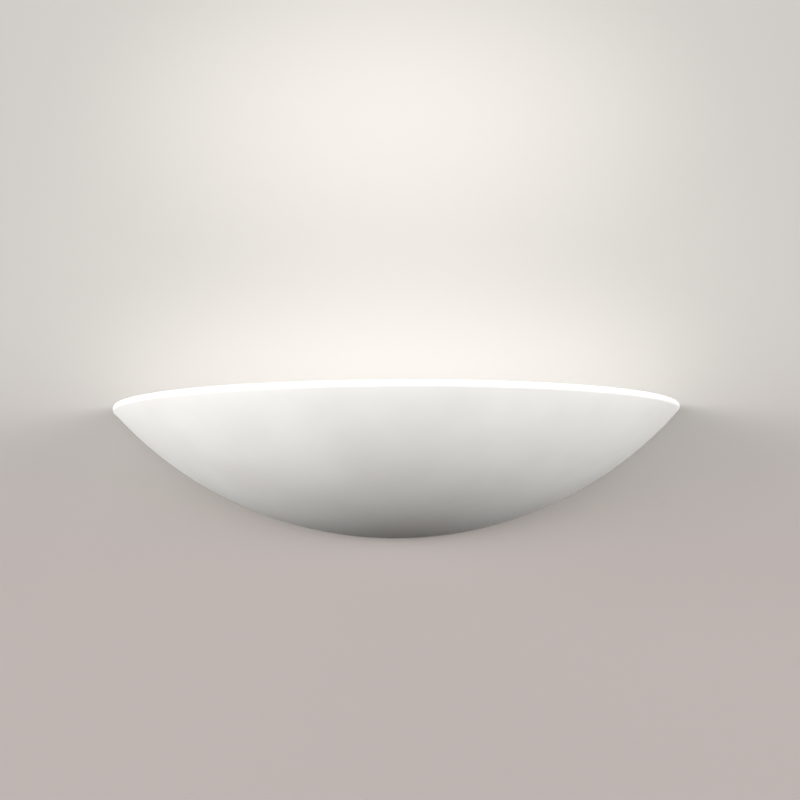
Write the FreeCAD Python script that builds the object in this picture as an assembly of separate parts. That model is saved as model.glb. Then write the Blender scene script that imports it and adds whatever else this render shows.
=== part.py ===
import FreeCAD, Part
import math
import os

from FreeCAD import Vector

# Half-dish wall uplighter, in millimetres. X runs along the wall, Y points into it and Z is up.
# The wall is the plane y = 0, and the origin is midway between the two wall-screw slots.

# Bowl: one hollow casting, part of a sphere, cut off by the wall and by the level rim.
BOWL_WIDTH = 428.0            # across the rim's tips on the wall, before they are rounded
BOWL_PROJECTION = 193.5       # wall to the front of the rim, before it is rounded
BOWL_HEIGHT = 99.0            # rim to the lowest point on the wall
BOWL_WALL = 7.0
BACK_WALL = 8.0
RIM_ROUND = 3.2
INNER_RIM_ROUND = 1.5
INSIDE_ROUND = 3.0
STRIP_HEIGHT = 16.0           # back wall left between the rim and the window
WINDOW_SILL = 7.5             # back wall left under the window's lower corners
WINDOW_CORNER = 6.0
WINDOW_EDGE_ROUND = 1.0
WINDOW_SIDE_GAP = 3.0

# Wall plate with its hooks.
PLATE_THICK = 1.5
PLATE_TOP_GAP = 1.0
PLATE_CORNER = 4.0
PLATE_BELOW_CARRIER = 6.5
HOOK_SPACING = 120.0
HOOK_WIDTH = 20.0
HOOK_LIP = 9.0
HOOK_GAP = 0.5
HOOK_BEND_RADIUS = 1.4
HOOK_TRAVEL_SPARE = 1.0
SLOT_SPACING = 100.0
SLOT_LENGTH = 14.0
SLOT_WIDTH = 5.2
SLOT_BELOW_TOP = 6.0

# Cable grommet.
GROMMET_X = 24.0
GROMMET_BORE = 8.0
GROMMET_NECK = 12.0
GROMMET_FLANGE = 18.0
GROMMET_FLANGE_THICK = 2.0
GROMMET_SEAT_GAP = 0.05
GROMMET_ROUND = 0.6

# Lamp: double-ended, with a recessed contact at each end.
LAMP_CONTACT_SPAN = 114.2
LAMP_RECESS_DEPTH = 1.7
LAMP_RECESS_BORE = 5.0
CAP_DIAMETER = 11.0
CAP_LENGTH = 11.0
CAP_CHAMFER = 0.5
TUBE_DIAMETER = 9.0
TUBE_WALL = 1.0
TUBE_LENGTH = 80.0
TUBE_END_ROUND = 3.0
PINCH_WIDTH = 7.4
PINCH_THICK = 3.0
PINCH_IN_CAP = 4.7
PINCH_ROUND = 0.8
FILAMENT_DIAMETER = 1.1
FILAMENT_END_GAP = 5.0        # from the coil to the end of the round tube
LEAD_IN_DIAMETER = 0.6
SUPPORT_WIRE = 0.3
SUPPORT_COUNT = 5
FOIL_WIDTH = 3.0
FOIL_THICK = 0.2
FOIL_END_GAP = 2.25
BUTTON_DIAMETER = 4.0
BUTTON_THICK = 1.0
STEM_DIAMETER = 1.0
SEAT_GAP = 0.02
TIP_DIAMETER = 2.0
TIP_HEIGHT = 1.2

# Lampholders and their contacts.
LAMP_FROM_WALL = 50.0
LAMP_ABOVE_FLOOR = 14.8
CAP_GRIP = 7.8                # length of cap inside each holder
CAP_SIDE_GAP = 0.5
LEFT_END_GAP = 1.0
SPRING_TRAVEL = 3.5
RIGHT_END_SPARE = 0.7
HOLDER_SIDE_WALL = 3.0
HOLDER_ABOVE_LAMP = 6.5
HOLDER_ROUND = 1.0
END_WALL = 1.5
CONTACT_TIP_DIAMETER = 3.6
CONTACT_TIP_CHAMFER = 0.6
CONTACT_BODY_DIAMETER = 5.0
CONTACT_BODY_LENGTH = 11.0
CONTACT_SIDE_GAP = 0.3
SLEEVE_DIAMETER = 7.0
SLEEVE_BORE = 5.0
SLEEVE_END = 2.0
PLUNGER_COLLAR_LENGTH = 2.0
PLUNGER_FIT = 0.05
PLUNGER_STOP_GAP = 0.3
PILOT_DIAMETER = 2.6
PILOT_LENGTH = 1.2
SPRING_LENGTH = 6.7
SPRING_DIAMETER = 4.4
SPRING_WIRE = 0.5
SPRING_TURNS = 4.5
HOLDER_BEHIND_SLEEVE = 1.0
FOOT_WIDTH = 12.0
FOOT_REACH = 7.0
FOOT_THICK = 4.0
FOOT_X = 64.0

# Carrier shelf, reflector and their fasteners.
CARRIER_THICK = 1.2
CARRIER_SIDE_SPARE = 0.5
CARRIER_LIP = 7.0
CARRIER_LIP_GAP = 0.8
CARRIER_TAB = 15.0
CARRIER_REAR_EDGE = 20.0
SHELF_CLEARANCE = 2.8
RIVET_DIAMETER = 4.0
RIVET_HEAD = 7.0
RIVET_HEAD_THICK = 1.5
RIVET_FLUSH_HEAD = 6.0
RIVET_SPACING = 11.0
RIVET_HEAD_EDGE = 0.2         # straight edge under a rivet's rounded head
REFLECTOR_THICK = 0.8
REFLECTOR_FLOOR = 14.0
REFLECTOR_MID = 30.0
REFLECTOR_MID_RISE = 9.0
REFLECTOR_MOUTH = 40.0
REFLECTOR_END_GAP = 2.0
SMALL_RIVET_DIAMETER = 3.2
SMALL_RIVET_HEAD = 5.6
SMALL_RIVET_HEAD_THICK = 1.1
SMALL_RIVET_SPACING = 70.0
SMALL_RIVET_ROW = 8.0
SCREW_DIAMETER = 3.0
SCREW_HEAD = 5.6
SCREW_HEAD_THICK = 2.0
SCREW_HOLE_GAP = 0.2
DRIVER_SLOT_WIDTH = 0.8
DRIVER_SLOT_DEPTH = 0.9
NUT_ACROSS_FLATS = 5.5
NUT_THICK = 2.4
THREAD_TAIL = 1.0
HEAD_ROUND = 0.5

# Three-pole terminal block.
BLOCK_X = -12.0
BLOCK_LENGTH = 20.0
BLOCK_DEPTH = 14.0
POLE_PITCH = 10.5
POLE_FROM_PLATE = 7.0
BLOCK_ROUND = 0.8
TERMINAL_DIAMETER = 5.4
TERMINAL_LENGTH = 17.0
TERMINAL_BORE = 3.0
TERMINAL_BORE_DEPTH = 7.5
CLAMP_SCREW_INSET = 4.0
CLAMP_WELL_GAP = 0.4
CLAMP_HEAD_DEPTH = 1.5
CLAMP_TIP_GAP = 0.1
BLOCK_SEAT_WEB = 0.6
NOTCH_WIDTH = 2.0
NOTCH_INSET = 2.8
NOTCH_DEPTH = 4.2

# Earth point.
EARTH_X = -42.0
EARTH_ABOVE_PLATE_FOOT = 10.5
EARTH_SCREW_DIAMETER = 4.0
EARTH_SCREW_HEAD = 7.0
EARTH_SCREW_HEAD_THICK = 2.4
TAG_THICK = 0.8
TAG_DIAMETER = 8.0
TAG_NECK = 3.0
TAG_REACH = 6.0
BARREL_LENGTH = 5.0
BARREL_DIAMETER = 3.6
WASHER_DIAMETER = 7.6
WASHER_THICK = 0.8
WASHER_TEETH = 10
WASHER_TOOTH_DEPTH = 0.7

# Internal leads.
LEAD_DIAMETER = 2.0
LEAD_CORE = 1.0
LEAD_IN_TERMINAL = 6.0
LEAD_HOLE_GAP = 0.2
LEAD_HOLE_DEPTH = 4.0
LEAD_X = 68.0
LEAD_BELOW_LAMP = 6.0
LEAD_ABOVE_SHELF = 3.9
CORE_IN_CONTACT = 0.7
CORE_ROOT = 0.5
CORNER_SHARE = 0.45
LEAD_END_GAP = 0.1

# Sphere of the bowl, from its width, projection and height.
HALF_WIDTH = BOWL_WIDTH / 2
AXIS_Y = (HALF_WIDTH ** 2 - BOWL_PROJECTION ** 2) / (2 * BOWL_PROJECTION)
RIM_RADIUS = BOWL_PROJECTION + AXIS_Y
SPHERE_RISE = (HALF_WIDTH ** 2 - BOWL_HEIGHT ** 2) / (2 * BOWL_HEIGHT)
OUTER_RADIUS = math.hypot(RIM_RADIUS, SPHERE_RISE)
INNER_RADIUS = OUTER_RADIUS - BOWL_WALL

# Heights, with the wall-screw slots at zero.
PLATE_TOP = SLOT_BELOW_TOP
WINDOW_TOP = PLATE_TOP + PLATE_TOP_GAP
RIM_Z = WINDOW_TOP + STRIP_HEIGHT
SPHERE_Z = RIM_Z + SPHERE_RISE
LIFT = HOOK_LIP + HOOK_TRAVEL_SPARE


def inside_height(x, y):
    """Height of the bowl's inner surface over a point of the floor plan."""
    return SPHERE_Z - math.sqrt(INNER_RADIUS ** 2 - x ** 2 - (y - AXIS_Y) ** 2)


# Lengths along the lamp, from its middle.
CONTACT_X = LAMP_CONTACT_SPAN / 2
LAMP_END_X = CONTACT_X + LAMP_RECESS_DEPTH
PINCH_END_X = LAMP_END_X - CAP_LENGTH + PINCH_IN_CAP
FOIL_X = TUBE_LENGTH / 2 + FOIL_END_GAP
FOIL_END_X = PINCH_END_X - FOIL_END_GAP
HOLDER_FACE_X = LAMP_END_X - CAP_GRIP
LEFT_WALL_X = LAMP_END_X + LEFT_END_GAP
RIGHT_WALL_X = LAMP_END_X + SPRING_TRAVEL + RIGHT_END_SPARE
SLEEVE_X = RIGHT_WALL_X + END_WALL
COLLAR_X = SLEEVE_X + PLUNGER_STOP_GAP
SPRING_X = COLLAR_X + PLUNGER_COLLAR_LENGTH
SPRING_END_X = SPRING_X + SPRING_LENGTH
SLEEVE_END_X = SPRING_END_X + SLEEVE_END
HOLDER_END_X = SLEEVE_END_X + HOLDER_BEHIND_SLEEVE

# Plan and heights of the lamp unit.
LAMP_Y = -LAMP_FROM_WALL
CAP_HOLLOW_RADIUS = CAP_DIAMETER / 2 + CAP_SIDE_GAP
HOLDER_HALF_DEPTH = CAP_HOLLOW_RADIUS + HOLDER_SIDE_WALL
FOOT_HALF_DEPTH = HOLDER_HALF_DEPTH + FOOT_REACH
FOOT_HOLE_Y = HOLDER_HALF_DEPTH + FOOT_REACH / 2
CARRIER_HALF = HOLDER_END_X + CARRIER_SIDE_SPARE
CARRIER_FRONT_Y = LAMP_Y - FOOT_HALF_DEPTH - CARRIER_LIP_GAP - CARRIER_THICK
SHELF_Z = inside_height(CARRIER_HALF, CARRIER_FRONT_Y) + LIFT + SHELF_CLEARANCE
FLOOR_Z = SHELF_Z + CARRIER_THICK
LAMP_Z = FLOOR_Z + LAMP_ABOVE_FLOOR
HOLDER_TOP = LAMP_Z + HOLDER_ABOVE_LAMP
TAB_TOP = SHELF_Z + CARRIER_TAB
RIVET_Z = (FLOOR_Z + TAB_TOP) / 2
PLATE_FOOT = SHELF_Z - PLATE_BELOW_CARRIER
PLATE_HALF = (HOOK_SPACING + HOOK_WIDTH) / 2
WINDOW_HALF = CARRIER_HALF + WINDOW_SIDE_GAP
WINDOW_FOOT = inside_height(WINDOW_HALF, 0) + WINDOW_SILL

# Terminal block and earth point.
BLOCK_MIDDLE_Z = (PLATE_TOP + PLATE_FOOT) / 2
BLOCK_HALF = BLOCK_LENGTH / 2
BLOCK_FRONT_Y = -PLATE_THICK - BLOCK_DEPTH
POLE_Y = -PLATE_THICK - POLE_FROM_PLATE
POLE_Z = [BLOCK_MIDDLE_Z + step * POLE_PITCH for step in (1, 0, -1)]
TERMINAL_HALF = TERMINAL_LENGTH / 2
EARTH_Z = PLATE_FOOT + EARTH_ABOVE_PLATE_FOOT
BARREL_Y = -PLATE_THICK - BARREL_DIAMETER / 2
BARREL_FOOT_Z = EARTH_Z + TAG_REACH
BARREL_TOP_Z = BARREL_FOOT_Z + BARREL_LENGTH
LEAD_Z = LAMP_Z - LEAD_BELOW_LAMP
REAR_FACE_Y = LAMP_Y + HOLDER_HALF_DEPTH


def box(x_ends, y_ends, z_ends):
    """Block between pairs of coordinates, given in either order."""
    low = Vector(min(x_ends), min(y_ends), min(z_ends))
    high = Vector(max(x_ends), max(y_ends), max(z_ends))
    return Part.makeBox(high.x - low.x, high.y - low.y, high.z - low.z, low)


def rod(diameter, start, end):
    """Round bar between two points."""
    return Part.makeCylinder(diameter / 2, (end - start).Length, start, end - start)


def lamp_rod(diameter, x_start, x_end):
    """Round bar on the lamp's axis."""
    return rod(diameter, Vector(x_start, LAMP_Y, LAMP_Z), Vector(x_end, LAMP_Y, LAMP_Z))


def level_rod(diameter, x, y_start, y_end, z):
    """Round bar square to the wall."""
    return rod(diameter, Vector(x, y_start, z), Vector(x, y_end, z))


def upright_rod(diameter, x, y, z_start, z_end):
    """Round bar standing on end."""
    return rod(diameter, Vector(x, y, z_start), Vector(x, y, z_end))


def edges_where(shape, wanted):
    """Edges whose middle point passes the test."""
    found = []
    for edge in shape.Edges:
        middle = edge.valueAt((edge.FirstParameter + edge.LastParameter) / 2)
        if wanted(middle, edge):
            found.append(edge)
    return found


def near(value, target):
    return abs(value - target) < 0.01


def upright(edge):
    return near(edge.BoundBox.XLength, 0) and near(edge.BoundBox.YLength, 0)


def square_to_wall(edge):
    return near(edge.BoundBox.XLength, 0) and near(edge.BoundBox.ZLength, 0)


def folded_sheet(points, thickness, x_ends):
    """Sheet whose inner face goes through (y, z) points, from the wall side forward."""
    path = Part.makePolygon([Vector(min(x_ends), y, z) for y, z in points])
    profile = path.makeOffset2D(-thickness, 0, True, True)
    return profile.extrude(Vector(max(x_ends) - min(x_ends), 0, 0))


# Bowl ---------------------------------------------------------------------------------------------

def bowl():
    outer = sphere(OUTER_RADIUS)
    inner = sphere(INNER_RADIUS)
    reach = 2 * RIM_RADIUS
    below_rim = (RIM_Z - reach, RIM_Z)
    dish = outer.common(box((-reach, reach), (-reach, 0), below_rim))
    hollow = inner.common(box((-reach, reach), (-reach, -BACK_WALL), (RIM_Z - reach, RIM_Z + 1)))
    hollow = round_inside(hollow)
    shell = dish.cut(hollow)
    window = box((-WINDOW_HALF, WINDOW_HALF), (-BACK_WALL - 1, 1), (WINDOW_FOOT, WINDOW_TOP))
    window = window.makeFillet(WINDOW_CORNER, edges_where(window, lambda p, e: square_to_wall(e)))
    shell = shell.cut(window)
    shell = round_rim(shell)
    return round_openings(shell)


def sphere(radius):
    """Ball whose poles and seam lie above the rim, whatever the bowl's sizes."""
    centre = Vector(0, AXIS_Y, SPHERE_Z)
    ball = Part.makeSphere(radius, centre, Vector(0, 1, 0))
    seam = edges_where(ball, lambda p, e: (p - centre).Length > radius / 2 and e.Length > radius)[0]
    middle = seam.valueAt((seam.FirstParameter + seam.LastParameter) / 2)
    turn = math.degrees(math.atan2(middle.x, middle.z - SPHERE_Z))
    ball.rotate(centre, Vector(0, 1, 0), -turn)
    return ball


def round_inside(hollow):
    """Soft inner corner where the dish meets its back wall."""
    corner = edges_where(hollow, lambda p, e: near(p.y, -BACK_WALL) and p.z < RIM_Z - 1)
    return hollow.makeFillet(INSIDE_ROUND, corner)


def round_rim(shell):
    def on_outer_rim(p, edge):
        return near(p.z, RIM_Z) and near(math.hypot(p.x, p.y - AXIS_Y), RIM_RADIUS)

    def on_inner_rim(p, edge):
        return near(p.z, RIM_Z) and p.y < -BACK_WALL / 2 and not on_outer_rim(p, edge)

    shell = shell.makeFillet(RIM_ROUND, edges_where(shell, on_outer_rim))
    return shell.makeFillet(INNER_RIM_ROUND, edges_where(shell, on_inner_rim))


def round_openings(shell):
    """Eased edges of the window, front and back."""
    def on_window(p, edge):
        across = near(p.y, 0) or near(p.y, -BACK_WALL)
        inside = abs(p.x) < WINDOW_HALF + 0.01 and WINDOW_FOOT - 0.01 < p.z < WINDOW_TOP + 0.01
        return across and inside

    return shell.makeFillet(WINDOW_EDGE_ROUND, edges_where(shell, on_window))


# Wall plate ---------------------------------------------------------------------------------------

def slot(x):
    """Round-ended cutter for one wall-screw slot."""
    half_run = (SLOT_LENGTH - SLOT_WIDTH) / 2
    half_width = SLOT_WIDTH / 2
    ends = [level_rod(SLOT_WIDTH, x + side * half_run, -PLATE_THICK - 1, 1, 0) for side in (-1, 1)]
    middle = box((x - half_run, x + half_run), (-PLATE_THICK - 1, 1), (-half_width, half_width))
    return middle.fuse(ends)


def hook(x):
    """Shelf under the bowl's top strip, turned up in front of it."""
    lip_back = -BACK_WALL - HOOK_GAP
    points = [
        (0, WINDOW_TOP),
        (lip_back, WINDOW_TOP),
        (lip_back, WINDOW_TOP + HOOK_LIP),
    ]
    arm = folded_sheet(points, PLATE_THICK, (x - HOOK_WIDTH / 2, x + HOOK_WIDTH / 2))
    back = box(
        (x - HOOK_WIDTH / 2, x + HOOK_WIDTH / 2),
        (-PLATE_THICK, 0),
        (PLATE_TOP - 1, WINDOW_TOP),
    )
    bracket = arm.fuse(back).removeSplitter()
    outer_bend = edges_where(bracket, lambda p, e: near(p.y, 0) and near(p.z, WINDOW_TOP))
    return bracket.makeFillet(HOOK_BEND_RADIUS, outer_bend)


def wall_plate():
    plate = box((-PLATE_HALF, PLATE_HALF), (-PLATE_THICK, 0), (PLATE_FOOT, PLATE_TOP))
    corners = edges_where(plate, lambda p, e: square_to_wall(e) and p.z < PLATE_TOP - 1)
    plate = plate.makeFillet(PLATE_CORNER, corners)
    plate = plate.fuse([hook(side * HOOK_SPACING / 2) for side in (-1, 1)]).removeSplitter()
    holes = [slot(side * SLOT_SPACING / 2) for side in (-1, 1)]
    cable_hole = GROMMET_NECK + 2 * GROMMET_SEAT_GAP
    holes.append(level_rod(cable_hole, GROMMET_X, -PLATE_THICK, 0, BLOCK_MIDDLE_Z))
    for z in block_screw_heights():
        holes.append(level_rod(SCREW_DIAMETER + 2 * SEAT_GAP, BLOCK_X, -PLATE_THICK, 0, z))
    holes.append(level_rod(EARTH_SCREW_DIAMETER + 2 * SEAT_GAP, EARTH_X, -PLATE_THICK, 0, EARTH_Z))
    for x in carrier_rivet_places():
        holes.append(level_rod(RIVET_DIAMETER + 2 * SEAT_GAP, x, -PLATE_THICK, 0, RIVET_Z))
        holes.append(flush_cone(x, SEAT_GAP))
    return plate.cut(holes)


def flush_cone(x, gap):
    """Countersink at the back of a carrier rivet, or the rivet's own flush head."""
    depth = (RIVET_FLUSH_HEAD - RIVET_DIAMETER) / 2
    return Part.makeCone(
        RIVET_FLUSH_HEAD / 2 + gap,
        RIVET_DIAMETER / 2 + gap,
        depth,
        Vector(x, 0, RIVET_Z),
        Vector(0, -1, 0),
    )


def cable_grommet():
    """Rubber ring with a groove that the plate's hole edge sits in."""
    z = BLOCK_MIDDLE_Z
    front = -PLATE_THICK - GROMMET_SEAT_GAP
    neck = level_rod(GROMMET_NECK, GROMMET_X, front - GROMMET_FLANGE_THICK / 2, 0, z)
    flange = level_rod(GROMMET_FLANGE, GROMMET_X, front - GROMMET_FLANGE_THICK, front, z)
    rim = edges_where(flange, lambda p, e: near(p.y, front - GROMMET_FLANGE_THICK))
    flange = flange.makeFillet(GROMMET_ROUND, rim)
    bore = level_rod(GROMMET_BORE, GROMMET_X, front - GROMMET_FLANGE_THICK - 1, 1, z)
    return neck.fuse(flange).cut(bore).removeSplitter()


# Carrier, reflector and fasteners -----------------------------------------------------------------

def carrier_rivet_places():
    """Distances along the wall of the four rivets that hold the carrier's tabs."""
    middle = PLATE_HALF - HOOK_WIDTH / 2
    return [side * middle + step * RIVET_SPACING / 2 for side in (-1, 1) for step in (-1, 1)]


def holder_screw_places():
    """Plan positions of the four lampholder screws."""
    rows = (LAMP_Y - FOOT_HOLE_Y, LAMP_Y + FOOT_HOLE_Y)
    return [(side * FOOT_X, y) for side in (-1, 1) for y in rows]


def reflector_rivet_places():
    rows = (LAMP_Y - SMALL_RIVET_ROW / 2, LAMP_Y + SMALL_RIVET_ROW / 2)
    return [(side * SMALL_RIVET_SPACING / 2, y) for side in (-1, 1) for y in rows]


def lamp_carrier():
    """Shelf with a stiffening lip in front and two arms whose tabs lie on the wall plate."""
    back_y = -PLATE_THICK
    points = [
        (back_y - CARRIER_THICK, TAB_TOP),
        (back_y - CARRIER_THICK, FLOOR_Z),
        (CARRIER_FRONT_Y + CARRIER_THICK, FLOOR_Z),
        (CARRIER_FRONT_Y + CARRIER_THICK, FLOOR_Z + CARRIER_LIP),
    ]
    shelf = folded_sheet(points, CARRIER_THICK, (-CARRIER_HALF, CARRIER_HALF))
    arm_inner = PLATE_HALF - HOOK_WIDTH
    rear = (-CARRIER_REAR_EDGE, 0)
    heights = (SHELF_Z - 1, TAB_TOP + 1)
    cuts = [box((-arm_inner, arm_inner), rear, heights)]
    for side in (-1, 1):
        cuts.append(box((side * PLATE_HALF, side * (CARRIER_HALF + 1)), rear, heights))
    for x, y in holder_screw_places():
        cuts.append(upright_rod(SCREW_DIAMETER + 2 * SEAT_GAP, x, y, SHELF_Z - 1, FLOOR_Z + 1))
    for x, y in reflector_rivet_places():
        cuts.append(upright_rod(SMALL_RIVET_DIAMETER + 2 * SEAT_GAP, x, y, SHELF_Z - 1, FLOOR_Z + 1))
    for x in carrier_rivet_places():
        hole = level_rod(RIVET_DIAMETER + 2 * SEAT_GAP, x, back_y - CARRIER_THICK - 1, 0, RIVET_Z)
        cuts.append(hole)
    return shelf.cut(cuts).removeSplitter()


def carrier_rivets():
    """Round heads in front, flush heads behind, so that the plate lies flat on the wall."""
    seat = -PLATE_THICK - CARRIER_THICK
    rivets = []
    for x in carrier_rivet_places():
        shank = level_rod(RIVET_DIAMETER, x, seat - RIVET_HEAD_THICK / 2, 0, RIVET_Z)
        head = level_rod(RIVET_HEAD, x, seat - RIVET_HEAD_THICK, seat, RIVET_Z)
        crown = edges_where(head, lambda p, e: near(p.y, seat - RIVET_HEAD_THICK))
        head = head.makeFillet(RIVET_HEAD_THICK - RIVET_HEAD_EDGE, crown)
        rivets.append(shank.fuse([head, flush_cone(x, 0)]).removeSplitter())
    return Part.makeCompound(rivets)


def reflector():
    """Polished sheet folded into a trough under the lamp."""
    floor = FLOOR_Z + REFLECTOR_THICK
    half = [(REFLECTOR_FLOOR / 2, floor), (REFLECTOR_MID / 2, floor + REFLECTOR_MID_RISE)]
    half.append((REFLECTOR_MOUTH / 2, HOLDER_TOP))
    points = [(LAMP_Y + y, z) for y, z in reversed(half)] + [(LAMP_Y - y, z) for y, z in half]
    half_length = HOLDER_FACE_X - REFLECTOR_END_GAP
    trough = folded_sheet(points, REFLECTOR_THICK, (-half_length, half_length))
    holes = []
    for x, y in reflector_rivet_places():
        holes.append(upright_rod(SMALL_RIVET_DIAMETER + 2 * SEAT_GAP, x, y, FLOOR_Z - 1, floor + 1))
    return trough.cut(holes)


def reflector_rivets():
    top = FLOOR_Z + REFLECTOR_THICK
    rivets = []
    for x, y in reflector_rivet_places():
        shank = upright_rod(SMALL_RIVET_DIAMETER, x, y, SHELF_Z, top)
        heads = []
        for seat, way in ((top, 1), (SHELF_Z, -1)):
            end = seat + way * SMALL_RIVET_HEAD_THICK
            head = upright_rod(SMALL_RIVET_HEAD, x, y, seat, end)
            crown = edges_where(head, lambda p, e: near(p.z, end))
            heads.append(head.makeFillet(SMALL_RIVET_HEAD_THICK - RIVET_HEAD_EDGE, crown))
        rivets.append(shank.fuse(heads).removeSplitter())
    return Part.makeCompound(rivets)


def holder_screws():
    seat = FLOOR_Z + FOOT_THICK
    screws = []
    for x, y in holder_screw_places():
        tail = SHELF_Z - NUT_THICK - THREAD_TAIL
        shank = upright_rod(SCREW_DIAMETER, x, y, tail, seat)
        head = upright_rod(SCREW_HEAD, x, y, seat, seat + SCREW_HEAD_THICK)
        head = head.makeFillet(HEAD_ROUND, edges_where(head, lambda p, e: near(p.z, seat + SCREW_HEAD_THICK)))
        driver = box(
            (x - SCREW_HEAD, x + SCREW_HEAD),
            (y - DRIVER_SLOT_WIDTH / 2, y + DRIVER_SLOT_WIDTH / 2),
            (seat + SCREW_HEAD_THICK - DRIVER_SLOT_DEPTH, seat + SCREW_HEAD_THICK + 1),
        )
        screws.append(shank.fuse(head).cut(driver).removeSplitter())
    return Part.makeCompound(screws)


def holder_nuts():
    across_corners = NUT_ACROSS_FLATS / math.cos(math.pi / 6)
    nuts = []
    for x, y in holder_screw_places():
        corners = []
        for step in range(7):
            angle = math.radians(60 * step)
            reach = across_corners / 2
            corners.append(Vector(x + reach * math.cos(angle), y + reach * math.sin(angle), SHELF_Z))
        blank = Part.Face(Part.makePolygon(corners)).extrude(Vector(0, 0, -NUT_THICK))
        bore = upright_rod(SCREW_DIAMETER + 2 * SEAT_GAP, x, y, SHELF_Z - NUT_THICK - 1, SHELF_Z + 1)
        nuts.append(blank.cut(bore))
    return Part.makeCompound(nuts)


# Lampholders and contacts -------------------------------------------------------------------------

def holder_blank(side, wall_x):
    """Block with an open-topped seat for the lamp's cap and a screw foot at the front and back."""
    x_ends = (side * HOLDER_FACE_X, side * HOLDER_END_X)
    y_ends = (LAMP_Y - HOLDER_HALF_DEPTH, LAMP_Y + HOLDER_HALF_DEPTH)
    body = box(x_ends, y_ends, (FLOOR_Z, HOLDER_TOP))
    body = body.makeFillet(HOLDER_ROUND, edges_where(body, lambda p, e: upright(e)))
    foot = box(
        (side * (FOOT_X - FOOT_WIDTH / 2), side * (FOOT_X + FOOT_WIDTH / 2)),
        (LAMP_Y - FOOT_HALF_DEPTH, LAMP_Y + FOOT_HALF_DEPTH),
        (FLOOR_Z, FLOOR_Z + FOOT_THICK),
    )
    foot = foot.makeFillet(HOLDER_ROUND, edges_where(foot, lambda p, e: upright(e)))
    inside = side * (HOLDER_FACE_X - 1)
    cap_bed = lamp_rod(2 * CAP_HOLLOW_RADIUS, inside, side * wall_x)
    way_in = box(
        (inside, side * wall_x),
        (LAMP_Y - CAP_HOLLOW_RADIUS, LAMP_Y + CAP_HOLLOW_RADIUS),
        (LAMP_Z, HOLDER_TOP + 1),
    )
    holes = [cap_bed, way_in]
    for y in (LAMP_Y - FOOT_HOLE_Y, LAMP_Y + FOOT_HOLE_Y):
        hole = SCREW_DIAMETER + 2 * SCREW_HOLE_GAP
        holes.append(upright_rod(hole, side * FOOT_X, y, FLOOR_Z - 1, FLOOR_Z + FOOT_THICK + 1))
    holes.append(lead_hole(side))
    return body.fuse(foot).cut(holes).removeSplitter()


def lead_hole(side):
    """Way in for a lead, through the holder's rear wall to its contact."""
    insulation = LEAD_DIAMETER + 2 * LEAD_HOLE_GAP
    core = LEAD_CORE + 2 * SEAT_GAP
    x = side * LEAD_X
    wide = level_rod(insulation, x, REAR_FACE_Y + 1, REAR_FACE_Y - LEAD_HOLE_DEPTH - LEAD_END_GAP, LEAD_Z)
    bend, axis = core_run(side)
    short = level_rod(core, x, REAR_FACE_Y - LEAD_HOLE_DEPTH, bend.y, LEAD_Z)
    return wide.fuse([short, Part.makeSphere(core / 2, bend), rod(core, bend, axis)])


def core_run(side):
    """Bend of a lead's core, and the point on the contact's axis that it aims at from there."""
    bend = Vector(side * LEAD_X, REAR_FACE_Y - LEAD_HOLE_DEPTH - 1, LEAD_Z)
    axis = Vector(side * LEAD_X, LAMP_Y, LAMP_Z)
    return bend, axis


def left_holder():
    blank = holder_blank(-1, LEFT_WALL_X)
    neck = lamp_rod(CONTACT_TIP_DIAMETER + 2 * SEAT_GAP, -LEFT_WALL_X + 1, -LEFT_WALL_X - END_WALL - 1)
    seat = lamp_rod(CONTACT_BODY_DIAMETER + 2 * SEAT_GAP, -LEFT_WALL_X - END_WALL, -HOLDER_END_X - 1)
    return blank.cut([neck, seat]).removeSplitter()


def right_holder():
    blank = holder_blank(1, RIGHT_WALL_X)
    window = lamp_rod(CONTACT_TIP_DIAMETER + 2 * CONTACT_SIDE_GAP, RIGHT_WALL_X - 1, SLEEVE_X + 1)
    seat = lamp_rod(SLEEVE_DIAMETER + 2 * SEAT_GAP, SLEEVE_X, HOLDER_END_X + 1)
    return blank.cut([window, seat]).removeSplitter()


def contact_tip(side, x_end):
    """Round pin whose chamfered flat end meets the lamp's contact."""
    tip = lamp_rod(CONTACT_TIP_DIAMETER, side * CONTACT_X, side * x_end)
    return tip.makeChamfer(CONTACT_TIP_CHAMFER, edges_where(tip, lambda p, e: near(p.x, side * CONTACT_X)))


def core_stop(side, distance):
    """Point at a distance from a contact's axis, on the run of the lead's core."""
    bend, axis = core_run(side)
    return axis + (bend - axis).normalize() * distance


def socketed(shape, side, surface_radius):
    """Contact with its cross hole, just deeper than the core that is brazed into it."""
    stop = core_stop(side, surface_radius - CORE_IN_CONTACT - LEAD_END_GAP)
    return shape.cut(rod(LEAD_CORE + 2 * SEAT_GAP, stop, core_run(side)[0]))


def left_contact():
    body_x = LEFT_WALL_X + END_WALL
    tip = contact_tip(-1, body_x)
    body = lamp_rod(CONTACT_BODY_DIAMETER, -body_x, -body_x - CONTACT_BODY_LENGTH)
    pin = tip.fuse(body).removeSplitter()
    return socketed(pin, -1, CONTACT_BODY_DIAMETER / 2)


def contact_sleeve():
    """Brass tube, closed behind the spring, that guides the plunger."""
    outside = lamp_rod(SLEEVE_DIAMETER, SLEEVE_X, SLEEVE_END_X)
    sleeve = outside.cut(lamp_rod(SLEEVE_BORE, SLEEVE_X - 1, SPRING_END_X))
    return socketed(sleeve, 1, SLEEVE_DIAMETER / 2)


def contact_plunger():
    tip = contact_tip(1, COLLAR_X)
    collar = lamp_rod(SLEEVE_BORE - 2 * PLUNGER_FIT, COLLAR_X, SPRING_X)
    pilot = lamp_rod(PILOT_DIAMETER, SPRING_X, SPRING_X + PILOT_LENGTH)
    return tip.fuse([collar, pilot]).removeSplitter()


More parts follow.
